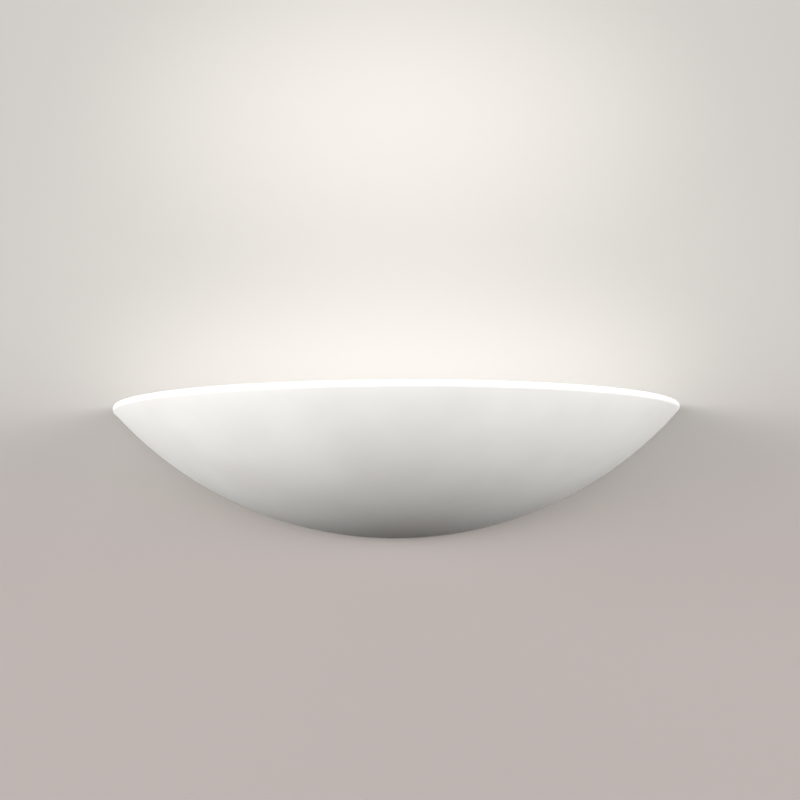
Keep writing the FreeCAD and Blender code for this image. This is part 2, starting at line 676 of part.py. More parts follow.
def arc_edge(start, corner, end):
    """Round edge from start to end, whose end tangents meet at the corner."""
    middle = (start + end) * 0.5
    rise = corner - middle
    turn = math.atan2(rise.Length, (end - start).Length / 2)
    crown = middle + rise * (math.tan(turn / 2) / math.tan(turn))
    return Part.Arc(start, crown, end).toShape()


def joined_arcs(start, start_way, end, end_way):
    """Two arcs that leave start and reach end along the given ways and share a tangent between."""
    span = end - start
    ways = start_way + end_way
    spread = 1 - start_way.dot(end_way)
    along = span.dot(ways)
    reach = (math.sqrt(along ** 2 + 2 * spread * span.dot(span)) - along) / (2 * spread)
    first_corner = start + start_way * reach
    last_corner = end - end_way * reach
    meeting = (first_corner + last_corner) * 0.5
    return [arc_edge(start, first_corner, meeting), arc_edge(meeting, last_corner, end)]


def tube_along(edges, diameter):
    """Round bar swept along joined edges."""
    path = Part.Wire(edges)
    first = edges[0]
    way = first.tangentAt(first.FirstParameter)
    start = first.valueAt(first.FirstParameter)
    section = Part.Wire(Part.makeCircle(diameter / 2, start, way))
    return path.makePipeShell([section], True, False)


def contact_spring():
    """Open coil behind the plunger, a quarter turn at a time."""
    radius = (SPRING_DIAMETER - SPRING_WIRE) / 2
    length = SPRING_LENGTH - 2 * SPRING_WIRE
    quarters = round(SPRING_TURNS * 4)
    climb = length / quarters
    start_x = SPRING_X + SPRING_WIRE

    def place(step):
        angle = step * math.pi / 2
        return Vector(
            start_x + climb * step,
            LAMP_Y + radius * math.cos(angle),
            LAMP_Z + radius * math.sin(angle),
        )

    def heading(step):
        angle = step * math.pi / 2
        turn = radius * math.pi / 2
        return Vector(climb, -turn * math.sin(angle), turn * math.cos(angle)).normalize()

    edges = []
    for step in range(quarters):
        edges += joined_arcs(place(step), heading(step), place(step + 1), heading(step + 1))
    print("contact spring: gap between turns", round(4 * climb - SPRING_WIRE, 2), "mm")
    return tube_along(edges, SPRING_WIRE)


# Lamp ---------------------------------------------------------------------------------------------

def lamp_tube():
    """Quartz tube, flattened at both ends round the foils, with its sealed-off filling tip."""
    half = TUBE_LENGTH / 2
    bulb = lamp_rod(TUBE_DIAMETER, -half, half)
    bulb = bulb.makeFillet(TUBE_END_ROUND, edges_where(bulb, lambda p, e: near(abs(p.x), half)))
    tip_foot = LAMP_Z + TUBE_DIAMETER / 2 - TUBE_WALL / 2
    tip = Part.makeCone(
        TIP_DIAMETER / 2,
        TIP_DIAMETER / 5,
        TIP_HEIGHT + TUBE_WALL / 2,
        Vector(0, LAMP_Y, tip_foot),
        Vector(0, 0, 1),
    )
    solid = bulb.fuse([tip] + [pinch(side) for side in (-1, 1)]).removeSplitter()
    inner_half = half - TUBE_END_ROUND
    space = lamp_rod(TUBE_DIAMETER - 2 * TUBE_WALL, -inner_half, inner_half)
    ends = edges_where(space, lambda p, e: near(abs(p.x), inner_half))
    space = space.makeFillet(TUBE_END_ROUND - TUBE_WALL, ends)
    pockets = [space]
    for side in (-1, 1):
        pockets.append(foil(side, SEAT_GAP))
        pockets.append(lamp_rod(LEAD_IN_DIAMETER + 2 * SEAT_GAP, side * (inner_half - 1), side * FOIL_X))
        stem = STEM_DIAMETER + 2 * SEAT_GAP
        pockets.append(lamp_rod(stem, side * FOIL_END_X, side * (PINCH_END_X + 1)))
    return solid.cut(pockets)



def pinch(side):
    inner = TUBE_LENGTH / 2 - TUBE_END_ROUND
    block = box(
        (side * inner, side * PINCH_END_X),
        (LAMP_Y - PINCH_WIDTH / 2, LAMP_Y + PINCH_WIDTH / 2),
        (LAMP_Z - PINCH_THICK / 2, LAMP_Z + PINCH_THICK / 2),
    )
    long_edges = edges_where(block, lambda p, e: near(e.BoundBox.YLength + e.BoundBox.ZLength, 0))
    return block.makeFillet(PINCH_ROUND, long_edges)


def foil(side, gap):
    """One sealing foil, or its pocket where a gap is given."""
    start = side * (FOIL_X - gap)
    end = side * (FOIL_END_X + gap)
    half_width = FOIL_WIDTH / 2 + gap
    half_thick = FOIL_THICK / 2 + gap
    return box(
        (start, end),
        (LAMP_Y - half_width, LAMP_Y + half_width),
        (LAMP_Z - half_thick, LAMP_Z + half_thick),
    )


def lamp_foils():
    return Part.makeCompound([foil(side, 0) for side in (-1, 1)])


def lamp_filament():
    """Coiled filament as one slim rod, its lead-in wires, and rings that keep it off the glass."""
    coil_length = TUBE_LENGTH - 2 * FILAMENT_END_GAP
    core = lamp_rod(FILAMENT_DIAMETER, -coil_length / 2, coil_length / 2)
    wires = lamp_rod(LEAD_IN_DIAMETER, -FOIL_X, FOIL_X)
    ring_radius = TUBE_DIAMETER / 2 - TUBE_WALL - SUPPORT_WIRE / 2 - SEAT_GAP
    supports = []
    for step in range(SUPPORT_COUNT):
        x = (step - (SUPPORT_COUNT - 1) / 2) * coil_length / SUPPORT_COUNT
        ring = Part.makeTorus(ring_radius, SUPPORT_WIRE / 2, Vector(x, LAMP_Y, LAMP_Z), Vector(1, 0, 0))
        spoke = upright_rod(SUPPORT_WIRE, x, LAMP_Y, LAMP_Z, LAMP_Z + ring_radius)
        supports += [ring, spoke]
    return core.fuse([wires] + supports)


def lamp_caps():
    caps = []
    for side in (-1, 1):
        inner = side * (LAMP_END_X - CAP_LENGTH)
        cap = lamp_rod(CAP_DIAMETER, inner, side * LAMP_END_X)
        cap = cap.makeChamfer(CAP_CHAMFER, edges_where(cap, lambda p, e: e.BoundBox.YLength > 1))
        half_width = PINCH_WIDTH / 2 + SEAT_GAP
        half_thick = PINCH_THICK / 2 + SEAT_GAP
        pinch_slot = box(
            (inner - side, side * (PINCH_END_X + SEAT_GAP)),
            (LAMP_Y - half_width, LAMP_Y + half_width),
            (LAMP_Z - half_thick, LAMP_Z + half_thick),
        )
        recess = lamp_rod(LAMP_RECESS_BORE, side * CONTACT_X, side * (LAMP_END_X + 1))
        button = BUTTON_DIAMETER + 2 * SEAT_GAP
        button_seat = lamp_rod(button, side * (CONTACT_X - BUTTON_THICK), side * LAMP_END_X)
        stem = lamp_rod(STEM_DIAMETER + 2 * SEAT_GAP, inner, side * CONTACT_X)
        caps.append(cap.cut([pinch_slot, recess, button_seat, stem]))
    return Part.makeCompound(caps)


def lamp_buttons():
    buttons = []
    for side in (-1, 1):
        button = lamp_rod(BUTTON_DIAMETER, side * CONTACT_X, side * (CONTACT_X - BUTTON_THICK))
        stem = lamp_rod(STEM_DIAMETER, side * (CONTACT_X - BUTTON_THICK), side * FOIL_END_X)
        buttons.append(button.fuse(stem).removeSplitter())
    return Part.makeCompound(buttons)


# Terminal block and earth point -------------------------------------------------------------------

def block_screw_heights():
    return [BLOCK_MIDDLE_Z + side * POLE_PITCH / 2 for side in (-1, 1)]


def clamp_screw_places():
    """Distances along the wall of each pole's two clamp screws."""
    return [BLOCK_X + side * (TERMINAL_HALF - CLAMP_SCREW_INSET) for side in (-1, 1)]


def terminal_block():
    half_height = 1.5 * POLE_PITCH
    body = box(
        (BLOCK_X - BLOCK_HALF, BLOCK_X + BLOCK_HALF),
        (BLOCK_FRONT_Y, -PLATE_THICK),
        (BLOCK_MIDDLE_Z - half_height, BLOCK_MIDDLE_Z + half_height),
    )
    front = edges_where(body, lambda p, e: near(p.y, BLOCK_FRONT_Y) or square_to_wall(e))
    body = body.makeFillet(BLOCK_ROUND, front)
    cuts = []
    for z in POLE_Z:
        ends = [Vector(BLOCK_X + side * (BLOCK_HALF + 1), POLE_Y, z) for side in (-1, 1)]
        cuts.append(rod(TERMINAL_DIAMETER + 2 * SEAT_GAP, ends[0], ends[1]))
        for x in clamp_screw_places():
            well = SCREW_DIAMETER + 2 * CLAMP_WELL_GAP
            cuts.append(level_rod(well, x, BLOCK_FRONT_Y - 1, POLE_Y, z))
    for z in block_screw_heights():
        cuts.append(level_rod(SCREW_DIAMETER + 2 * SEAT_GAP, BLOCK_X, BLOCK_FRONT_Y - 1, 0, z))
        cuts.append(level_rod(SCREW_HEAD + 2 * SCREW_HOLE_GAP, BLOCK_X, BLOCK_FRONT_Y - 1, block_seat_y(), z))
    for z in block_screw_heights():
        for side in (-1, 1):
            notch = box(
                (BLOCK_X + side * (BLOCK_HALF - NOTCH_INSET), BLOCK_X + side * (BLOCK_HALF + 1)),
                (BLOCK_FRONT_Y - 1, BLOCK_FRONT_Y + NOTCH_DEPTH),
                (z - NOTCH_WIDTH / 2, z + NOTCH_WIDTH / 2),
            )
            cuts.append(notch)
    return body.cut(cuts).removeSplitter()


def block_seat_y():
    """Plane that the heads of the block's fixing screws seat on, in front of the poles."""
    return POLE_Y - TERMINAL_DIAMETER / 2 - BLOCK_SEAT_WEB


def terminal_tubes():
    tubes = []
    for z in POLE_Z:
        ends = [Vector(BLOCK_X + side * TERMINAL_HALF, POLE_Y, z) for side in (-1, 1)]
        tube = rod(TERMINAL_DIAMETER, ends[0], ends[1])
        cuts = []
        for side, mouth in zip((-1, 1), ends):
            stop = mouth - Vector(side * TERMINAL_BORE_DEPTH, 0, 0)
            cuts.append(rod(TERMINAL_BORE, mouth, stop))
        for x in clamp_screw_places():
            cuts.append(level_rod(SCREW_DIAMETER + 2 * SEAT_GAP, x, POLE_Y - TERMINAL_DIAMETER, POLE_Y, z))
        tubes.append(tube.cut(cuts))
    return Part.makeCompound(tubes)


def terminal_screws():
    """Slotted clamp screws: those at the lamp's side down on a core, the others backed off."""
    top = BLOCK_FRONT_Y + CLAMP_HEAD_DEPTH
    lamp_side, mains_side = clamp_screw_places()
    tips = {
        lamp_side: POLE_Y - LEAD_CORE / 2 - CLAMP_TIP_GAP,
        mains_side: POLE_Y - TERMINAL_BORE / 2 - CLAMP_TIP_GAP,
    }
    screws = []
    for z in POLE_Z:
        for x, tip in tips.items():
            shank = level_rod(SCREW_DIAMETER, x, top, tip, z)
            driver = box(
                (x - SCREW_DIAMETER, x + SCREW_DIAMETER),
                (top - 1, top + DRIVER_SLOT_DEPTH),
                (z - DRIVER_SLOT_WIDTH / 2, z + DRIVER_SLOT_WIDTH / 2),
            )
            screws.append(shank.cut(driver))
    return Part.makeCompound(screws)


def wall_screw(x, z, seat, diameter, head, head_thick):
    """Pan-head screw driven towards the wall, its tail level with the plate's back."""
    shank = level_rod(diameter, x, seat, 0, z)
    cap = level_rod(head, x, seat - head_thick, seat, z)
    cap = cap.makeFillet(HEAD_ROUND, edges_where(cap, lambda p, e: near(p.y, seat - head_thick)))
    driver = box(
        (x - head, x + head),
        (seat - head_thick - 1, seat - head_thick + DRIVER_SLOT_DEPTH),
        (z - DRIVER_SLOT_WIDTH / 2, z + DRIVER_SLOT_WIDTH / 2),
    )
    return shank.fuse(cap).cut(driver).removeSplitter()


def block_screws():
    screws = []
    for z in block_screw_heights():
        screws.append(wall_screw(BLOCK_X, z, block_seat_y(), SCREW_DIAMETER, SCREW_HEAD, SCREW_HEAD_THICK))
    return Part.makeCompound(screws)


def earth_tag():
    """Ring terminal flat on the plate, its crimped barrel pointing up."""
    back, front = -PLATE_THICK, -PLATE_THICK - TAG_THICK
    ring = level_rod(TAG_DIAMETER, EARTH_X, front, back, EARTH_Z)
    neck = box((EARTH_X - TAG_NECK / 2, EARTH_X + TAG_NECK / 2), (front, back), (EARTH_Z, BARREL_TOP_Z))
    barrel = upright_rod(BARREL_DIAMETER, EARTH_X, BARREL_Y, BARREL_FOOT_Z, BARREL_TOP_Z)
    below = upright_rod(LEAD_DIAMETER + 2 * SEAT_GAP, EARTH_X, BARREL_Y, BARREL_FOOT_Z - 1, BARREL_TOP_Z + 1)
    hole = level_rod(EARTH_SCREW_DIAMETER + 2 * SEAT_GAP, EARTH_X, front - 1, 0, EARTH_Z)
    return ring.fuse([neck, barrel]).cut([below, hole]).removeSplitter()


def earth_washer():
    """Toothed lock washer between the tag and the screw's head."""
    back = -PLATE_THICK - TAG_THICK
    front = back - WASHER_THICK
    disc = level_rod(WASHER_DIAMETER, EARTH_X, front, back, EARTH_Z)
    cuts = [level_rod(EARTH_SCREW_DIAMETER + 2 * SCREW_HOLE_GAP, EARTH_X, front - 1, back + 1, EARTH_Z)]
    for step in range(WASHER_TEETH):
        angle = 2 * math.pi * step / WASHER_TEETH
        x = EARTH_X + WASHER_DIAMETER / 2 * math.cos(angle)
        z = EARTH_Z + WASHER_DIAMETER / 2 * math.sin(angle)
        cuts.append(level_rod(2 * WASHER_TOOTH_DEPTH, x, front - 1, back + 1, z))
    return disc.cut(cuts)


def earth_screw():
    seat = -PLATE_THICK - TAG_THICK - WASHER_THICK
    return wall_screw(
        EARTH_X, EARTH_Z, seat, EARTH_SCREW_DIAMETER, EARTH_SCREW_HEAD, EARTH_SCREW_HEAD_THICK
    )


# Leads --------------------------------------------------------------------------------------------

def rounded_route(name, points):
    """Straight runs between the points, joined by arcs as large as the runs allow."""
    edges = []
    radii = []
    here = points[0]
    for before, corner, after in zip(points, points[1:], points[2:]):
        back = before - corner
        onward = after - corner
        reach = CORNER_SHARE * min(back.Length, onward.Length)
        turn = math.pi - back.getAngle(onward)
        radii.append(round(reach / math.tan(turn / 2), 1))
        start = corner + back.normalize() * reach
        end = corner + onward.normalize() * reach
        edges.append(Part.makeLine(here, start))
        edges.append(arc_edge(start, corner, end))
        here = end
    edges.append(Part.makeLine(here, points[-1]))
    print(name, "bend radii", radii, "mm")
    return edges


def lead(name, points, cores):
    """Insulated lead along its route, with a bare core at each end."""
    edges = rounded_route(name, points)
    jacket = tube_along(edges, LEAD_DIAMETER)
    length = sum(edge.Length for edge in edges)
    share = jacket.Volume / (math.pi * LEAD_DIAMETER ** 2 / 4 * length)
    print(name, "length", round(length, 1), "mm, tube volume over section times length", round(share, 4))
    return jacket.fuse(cores).removeSplitter()


def pole_mouth(pole):
    """Point just outside a terminal tube, where a lead's insulation stops."""
    return Vector(BLOCK_X - TERMINAL_HALF - LEAD_END_GAP, POLE_Y, POLE_Z[pole])


def pole_core(pole):
    mouth = pole_mouth(pole)
    return rod(LEAD_CORE, mouth - Vector(CORE_ROOT, 0, 0), mouth + Vector(LEAD_IN_TERMINAL, 0, 0))


def holder_lead_end(side):
    """Point inside the holder's rear wall where a lead's insulation stops."""
    return Vector(side * LEAD_X, REAR_FACE_Y - LEAD_HOLE_DEPTH, LEAD_Z)


def contact_core(side, surface_radius):
    """Bare core from the insulation to the contact, with one bend."""
    root = holder_lead_end(side) + Vector(0, CORE_ROOT, 0)
    bend = core_run(side)[0]
    end = core_stop(side, surface_radius - CORE_IN_CONTACT)
    knee = Part.makeSphere(LEAD_CORE / 2, bend)
    return [rod(LEAD_CORE, root, bend), knee, rod(LEAD_CORE, bend, end)]


def earth_lead():
    start = pole_mouth(0)
    barrel = Vector(EARTH_X, BARREL_Y, BARREL_FOOT_Z + 1)
    points = [
        start,
        start + Vector(-12.5, 0, 0.3),
        Vector(EARTH_X + 1.5, BARREL_Y - 3.2, BARREL_TOP_Z + 7.5),
        Vector(EARTH_X, BARREL_Y, BARREL_TOP_Z + 2.5),
        barrel,
    ]
    return lead("earth lead", points, [pole_core(0)])


def live_lead():
    start = pole_mouth(1)
    end = holder_lead_end(-1)
    points = [
        start,
        start + Vector(-13, -1, -0.5),
        start + Vector(-27, -6, -1.5),
        Vector(end.x + 6, end.y + 20, end.z + 1),
        Vector(end.x, end.y + 11, end.z),
        end,
    ]
    return lead("live lead", points, [pole_core(1)] + contact_core(-1, CONTACT_BODY_DIAMETER / 2))


def neutral_lead():
    start = pole_mouth(2)
    end = holder_lead_end(1)
    run = end.x - start.x
    row_y = -CARRIER_REAR_EDGE - 5
    row_z = FLOOR_Z + LEAD_ABOVE_SHELF
    points = [
        start,
        start + Vector(-9.5, 0, 0),
        Vector(start.x - 13.5, (start.y + row_y) / 2, (start.z + row_z) / 2),
        Vector(start.x - 8, row_y, row_z),
        Vector(start.x + 0.18 * run, row_y + 1, row_z + 1),
        Vector(start.x + 0.54 * run, row_y - 1, row_z + 2),
        Vector(end.x - 7, row_y - 4, end.z + 1),
        Vector(end.x, end.y + 9, end.z),
        end,
    ]
    return lead("neutral lead", points, [pole_core(2)] + contact_core(1, SLEEVE_DIAMETER / 2))


PIECES = {
    "bowl": bowl,
    "wall_plate": wall_plate,
    "cable_grommet": cable_grommet,
    "lamp_carrier": lamp_carrier,
    "carrier_rivets": carrier_rivets,
    "reflector": reflector,
    "reflector_rivets": reflector_rivets,
    "left_holder": left_holder,
    "right_holder": right_holder,
    "holder_screws": holder_screws,
    "holder_nuts": holder_nuts,
    "left_contact": left_contact,
    "contact_sleeve": contact_sleeve,
    "contact_plunger": contact_plunger,
    "contact_spring": contact_spring,
    "lamp_tube": lamp_tube,
    "lamp_filament": lamp_filament,
    "lamp_foils": lamp_foils,
    "lamp_caps": lamp_caps,
    "lamp_buttons": lamp_buttons,
    "terminal_block": terminal_block,
    "terminal_tubes": terminal_tubes,
    "terminal_screws": terminal_screws,
    "block_screws": block_screws,
    "earth_screw": earth_screw,
    "earth_washer": earth_washer,
    "earth_tag": earth_tag,
    "earth_lead": earth_lead,
    "live_lead": live_lead,
    "neutral_lead": neutral_lead,
}

os.makedirs("parts", exist_ok=True)
for node, build in PIECES.items():
    build().exportStep(f"parts/{node}.step")
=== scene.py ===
import math

import bpy
from mathutils import Matrix, Vector


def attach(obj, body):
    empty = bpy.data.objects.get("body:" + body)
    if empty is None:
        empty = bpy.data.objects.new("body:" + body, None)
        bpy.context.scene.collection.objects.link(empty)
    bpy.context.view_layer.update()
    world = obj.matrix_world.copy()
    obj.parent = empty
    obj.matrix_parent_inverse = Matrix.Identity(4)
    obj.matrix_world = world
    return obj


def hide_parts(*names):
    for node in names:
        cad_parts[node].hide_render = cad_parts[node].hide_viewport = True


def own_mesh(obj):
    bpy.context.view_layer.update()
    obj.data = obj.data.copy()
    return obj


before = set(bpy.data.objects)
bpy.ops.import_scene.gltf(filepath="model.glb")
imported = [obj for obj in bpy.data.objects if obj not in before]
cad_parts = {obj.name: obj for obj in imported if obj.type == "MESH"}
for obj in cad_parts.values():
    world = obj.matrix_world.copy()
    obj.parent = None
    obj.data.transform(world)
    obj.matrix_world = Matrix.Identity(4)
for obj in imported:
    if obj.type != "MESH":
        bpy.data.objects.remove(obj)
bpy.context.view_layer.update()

# Half-dish wall uplighter: a white ceramic bowl hung on a steel plate, with its lamp unit
# inside. Lengths are in metres.


# -----------------------------------------------------------------------------------------------
# Bowl: slip-cast earthenware fired white and left unglazed, so it is smooth, matt and a little
# chalky. It is one hollow piece, cut flat at the rim and at the back, with its edges fettled
# round by hand. The back wall has a window, and its top strip hangs on the plate's two hooks.

BOWL_WIDTH = 0.428
BOWL_PROJECTION = 0.1935
BOWL_HEIGHT = 0.099
BOWL_WALL = 0.007
BACK_WALL = 0.008
RIM_Z = 0.023
RIM_ROUND = 0.0032
INNER_RIM_ROUND = 0.0012
INSIDE_ROUND = 0.003
WINDOW_X = 0.080
WINDOW_TOP = 0.007
WINDOW_SILL = 0.0075
WINDOW_CORNER = 0.006
WINDOW_EDGE_ROUND = 0.001
BALL_SEGMENTS = 160
TOUCHING = 1e-5

AXIS_Y = ((BOWL_WIDTH / 2) ** 2 - BOWL_PROJECTION ** 2) / (2 * BOWL_PROJECTION)
RIM_RADIUS = BOWL_PROJECTION + AXIS_Y
SPHERE_RISE = ((BOWL_WIDTH / 2) ** 2 - BOWL_HEIGHT ** 2) / (2 * BOWL_HEIGHT)
OUTER_RADIUS = math.hypot(RIM_RADIUS, SPHERE_RISE)
INNER_RADIUS = OUTER_RADIUS - BOWL_WALL
SPHERE_CENTRE = Vector((0, AXIS_Y, RIM_Z + SPHERE_RISE))


def deselect():
    if bpy.context.object and bpy.context.object.mode != "OBJECT":
        bpy.ops.object.mode_set(mode="OBJECT")
    bpy.ops.object.select_all(action="DESELECT")


def take(piece):
    """Makes the piece the only one selected, and active."""
    deselect()
    piece.select_set(True)
    bpy.context.view_layer.objects.active = piece


def settle(piece, name):
    """Names the piece, and puts its place, turn and scale into its mesh."""
    take(piece)
    bpy.ops.object.transform_apply(location=True, rotation=True, scale=True)
    piece.name = name
    piece.data.name = name
    return piece


def edges_where(piece, wanted):
    """Selects, in edit mode, the edges whose two ends pass the test."""
    take(piece)
    bpy.ops.object.mode_set(mode="EDIT")
    bpy.ops.mesh.select_mode(type="EDGE")
    bpy.ops.mesh.select_all(action="DESELECT")
    bpy.ops.object.mode_set(mode="OBJECT")
    points = piece.data.vertices
    for edge in piece.data.edges:
        edge.select = wanted(points[edge.vertices[0]].co, points[edge.vertices[1]].co)
    bpy.ops.object.mode_set(mode="EDIT")


def bevel_edges(piece, wanted, width, segments, shortest=0.0004, profile=0.5):
    """Rounds the edges that pass the test, once points too close together are merged."""
    edges_where(piece, wanted)
    bpy.ops.mesh.remove_doubles(threshold=shortest)
    bpy.ops.mesh.bevel(
        offset=width, offset_type="OFFSET", segments=segments, profile=profile, affect="EDGES",
        loop_slide=False,
    )
    bpy.ops.object.mode_set(mode="OBJECT")


def cut_away(piece, point, normal):
    """Cuts the piece by a plane, closes it, and throws away what lies on the normal's side."""
    take(piece)
    bpy.ops.object.mode_set(mode="EDIT")
    bpy.ops.mesh.select_all(action="SELECT")
    bpy.ops.mesh.bisect(
        plane_co=point, plane_no=normal, use_fill=True, clear_outer=True, threshold=1e-7
    )
    bpy.ops.object.mode_set(mode="OBJECT")


def apply_modifier(piece, kind, **settings):
    take(piece)
    modifier = piece.modifiers.new(kind, kind)
    for key, value in settings.items():
        setattr(modifier, key, value)
    bpy.ops.object.modifier_apply(modifier=modifier.name)


def subtract(piece, tool):
    """Cuts the tool's shape out of the piece, and deletes the tool."""
    apply_modifier(piece, "BOOLEAN", operation="DIFFERENCE", solver="MANIFOLD", object=tool)
    bpy.data.objects.remove(tool)


def ball(radius):
    """Sphere of the bowl, its poles upright so that its rings run level with the rim."""
    deselect()
    bpy.ops.mesh.primitive_uv_sphere_add(
        segments=BALL_SEGMENTS, ring_count=BALL_SEGMENTS, radius=radius, location=SPHERE_CENTRE
    )
    return settle(bpy.context.object, "ball")


dish = ball(OUTER_RADIUS)
cut_away(dish, (0, 0, RIM_Z), (0, 0, 1))
cut_away(dish, (0, 0, 0), (0, 1, 0))


def rim_distance(p):
    return math.hypot(p.x, p.y - AXIS_Y)


def on_outer_rim(a, b):
    return all(
        abs(p.z - RIM_Z) < TOUCHING and rim_distance(p) > RIM_RADIUS - 10 * TOUCHING
        for p in (a, b)
    )


half_angle = math.acos(SPHERE_RISE / OUTER_RADIUS) / 2
rim_reach = RIM_ROUND / math.tan(half_angle)
rim_profile = (1 - 0.5 / (1 + math.sin(half_angle))) ** 2


def on_ring_in_reach(a, b):
    """Level edge of the sphere that lies where the rim is going to be rounded."""
    level = abs(a.z - b.z) < TOUCHING / 10
    below_rim = TOUCHING < RIM_Z - a.z < 1.1 * rim_reach
    off_sphere = min(abs(math.dist(p, SPHERE_CENTRE) - OUTER_RADIUS) for p in (a, b))
    return level and below_rim and off_sphere < TOUCHING


edges_where(dish, on_ring_in_reach)
bpy.ops.mesh.dissolve_edges(use_verts=True)
bevel_edges(dish, on_outer_rim, rim_reach, 10, profile=rim_profile)

hollow = ball(INNER_RADIUS)
cut_away(hollow, (0, -BACK_WALL, 0), (0, 1, 0))
bevel_edges(hollow, lambda a, b: min(a.y, b.y) > -BACK_WALL - TOUCHING, INSIDE_ROUND, 6)
cut_away(hollow, (0, 0, RIM_Z + 0.01), (0, 0, 1))
subtract(dish, hollow)

window_foot = (
    SPHERE_CENTRE.z - math.sqrt(INNER_RADIUS ** 2 - WINDOW_X ** 2 - AXIS_Y ** 2) + WINDOW_SILL
)
deselect()
bpy.ops.mesh.primitive_cube_add(
    size=1,
    location=(0, -BACK_WALL / 2, (WINDOW_TOP + window_foot) / 2),
    scale=(2 * WINDOW_X, 2 * BACK_WALL, WINDOW_TOP - window_foot),
)
window = settle(bpy.context.object, "window")
bevel_edges(window, lambda a, b: abs(a.y - b.y) > BACK_WALL, WINDOW_CORNER, 10)
subtract(dish, window)


CORNER_REACH = 0.006
INNER_RIM_RADIUS = math.sqrt(INNER_RADIUS ** 2 - SPHERE_RISE ** 2)


def on_inner_rim(a, b):
    """Edge of the hollow at the rim: an arc in front, and straight along the back wall."""
    if any(abs(p.z - RIM_Z) > TOUCHING or p.y > -BACK_WALL + TOUCHING for p in (a, b)):
        return False
    on_arc = all(abs(rim_distance(p) - INNER_RIM_RADIUS) < 20 * TOUCHING for p in (a, b))
    on_back = all(abs(p.y + BACK_WALL) < TOUCHING for p in (a, b))
    in_corner = all(
        p.y > -BACK_WALL - CORNER_REACH and rim_distance(p) < INNER_RIM_RADIUS + 10 * TOUCHING
        for p in (a, b)
    )
    return on_arc or on_back or in_corner


bevel_edges(dish, on_inner_rim, INNER_RIM_ROUND, 4)


def on_window(a, b):
    def inside(p):
        high_enough = window_foot - TOUCHING < p.z < WINDOW_TOP + TOUCHING
        return abs(p.x) < WINDOW_X + TOUCHING and high_enough

    front = all(abs(p.y + BACK_WALL) < TOUCHING for p in (a, b))
    back = all(abs(p.y) < TOUCHING for p in (a, b))
    return (front or back) and inside(a) and inside(b)


bevel_edges(dish, on_window, WINDOW_EDGE_ROUND, 4)
bowl = settle(dish, "ceramic_bowl")


def smooth(piece, degrees=35):
    take(piece)
    bpy.ops.object.shade_smooth_by_angle(angle=math.radians(degrees), keep_sharp_edges=True)


smooth(bowl, 40)
apply_modifier(bowl, "WEIGHTED_NORMAL", keep_sharp=True)


def linear(hex_colour):
    """Linear RGBA of an sRGB hex value."""
    parts = [int(hex_colour[i:i + 2], 16) / 255 for i in (0, 2, 4)]
    return [c / 12.92 if c <= 0.04045 else ((c + 0.055) / 1.055) ** 2.4 for c in parts] + [1.0]


def new_material(name):
    """Empty material with its output node."""
    material = bpy.data.materials.new(name)
    material.use_nodes = True
    material.node_tree.nodes.clear()
    material.node_tree.nodes.new("ShaderNodeOutputMaterial")
    return material


def add_node(owner, kind, settings=(), ramp=(), **links):
    """Adds a node to a material or world. Settings go to its properties or inputs, ramp holds
    its colour stops, and links come from other nodes' outputs."""
    tree = owner.node_tree
    node = tree.nodes.new("ShaderNode" + kind)
    for key, value in dict(settings).items():
        if isinstance(key, str) and hasattr(node, key):
            setattr(node, key, value)
        else:
            node.inputs[key].default_value = linear(value) if isinstance(value, str) else value
    if ramp:
        stops = node.color_ramp.elements
        stops[0].position, stops[1].position = ramp[0][0], ramp[-1][0]
        for position, colour in ramp[1:-1]:
            stops.new(position)
        for stop, (position, colour) in zip(stops, ramp):
            stop.color = linear(colour)
    for key, source in links.items():
        socket = node.inputs[int(key[1:]) if key[1:].isdigit() else key.replace("_", " ")]
        tree.links.new(source, socket)
    return node


def finish_material(material, shader):
    output = material.node_tree.nodes["Material Output"]
    material.node_tree.links.new(shader.outputs[0], output.inputs["Surface"])
    return material


def white_ceramic():
    """Matt white fired clay: fine pores about 0.4 mm apart, and a cast skin that is faintly
    uneven."""
    material = new_material("unglazed white earthenware")
    place = add_node(material, "TexCoord").outputs["Object"]
    body = add_node(material, "TexNoise", {"Scale": 1 / 0.060, "Detail": 3.0}, Vector=place)
    colour = add_node(
        material, "ValToRGB", ramp=[(0.3, "ecebe8"), (0.7, "f2f2f0")], Fac=body.outputs["Fac"]
    )
    pores = add_node(material, "TexNoise", {"Scale": 1 / 0.0008, "Detail": 4.0}, Vector=place)
    skin = add_node(material, "TexNoise", {"Scale": 1 / 0.030, "Detail": 2.0}, Vector=place)
    fine = add_node(
        material, "Bump", {"Strength": 0.25, "Distance": 0.00005}, Height=pores.outputs["Fac"]
    )
    waves = add_node(
        material, "Bump", {"Strength": 0.5, "Distance": 0.0003},
        Height=skin.outputs["Fac"], Normal=fine.outputs["Normal"],
    )
    shader = add_node(
        material, "BsdfPrincipled", {"Roughness": 0.75, "Specular IOR Level": 0.25},
        Base_Color=colour.outputs["Color"], Normal=waves.outputs["Normal"],
    )
    return finish_material(material, shader)


def dress(piece, material, body):
    """Gives a new piece its material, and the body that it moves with."""
    piece.data.materials.clear()
    piece.data.materials.append(material)
    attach(piece, body)


dress(bowl, white_ceramic(), "bowl")
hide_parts("bowl")


# -----------------------------------------------------------------------------------------------
# Wall plate and lamp carrier: folded from cold-rolled steel sheet, 1.5 and 1.2 mm thick, and
# zinc plated after folding. The plate is screwed to the wall through its two slots, and the
# carrier is riveted to it.


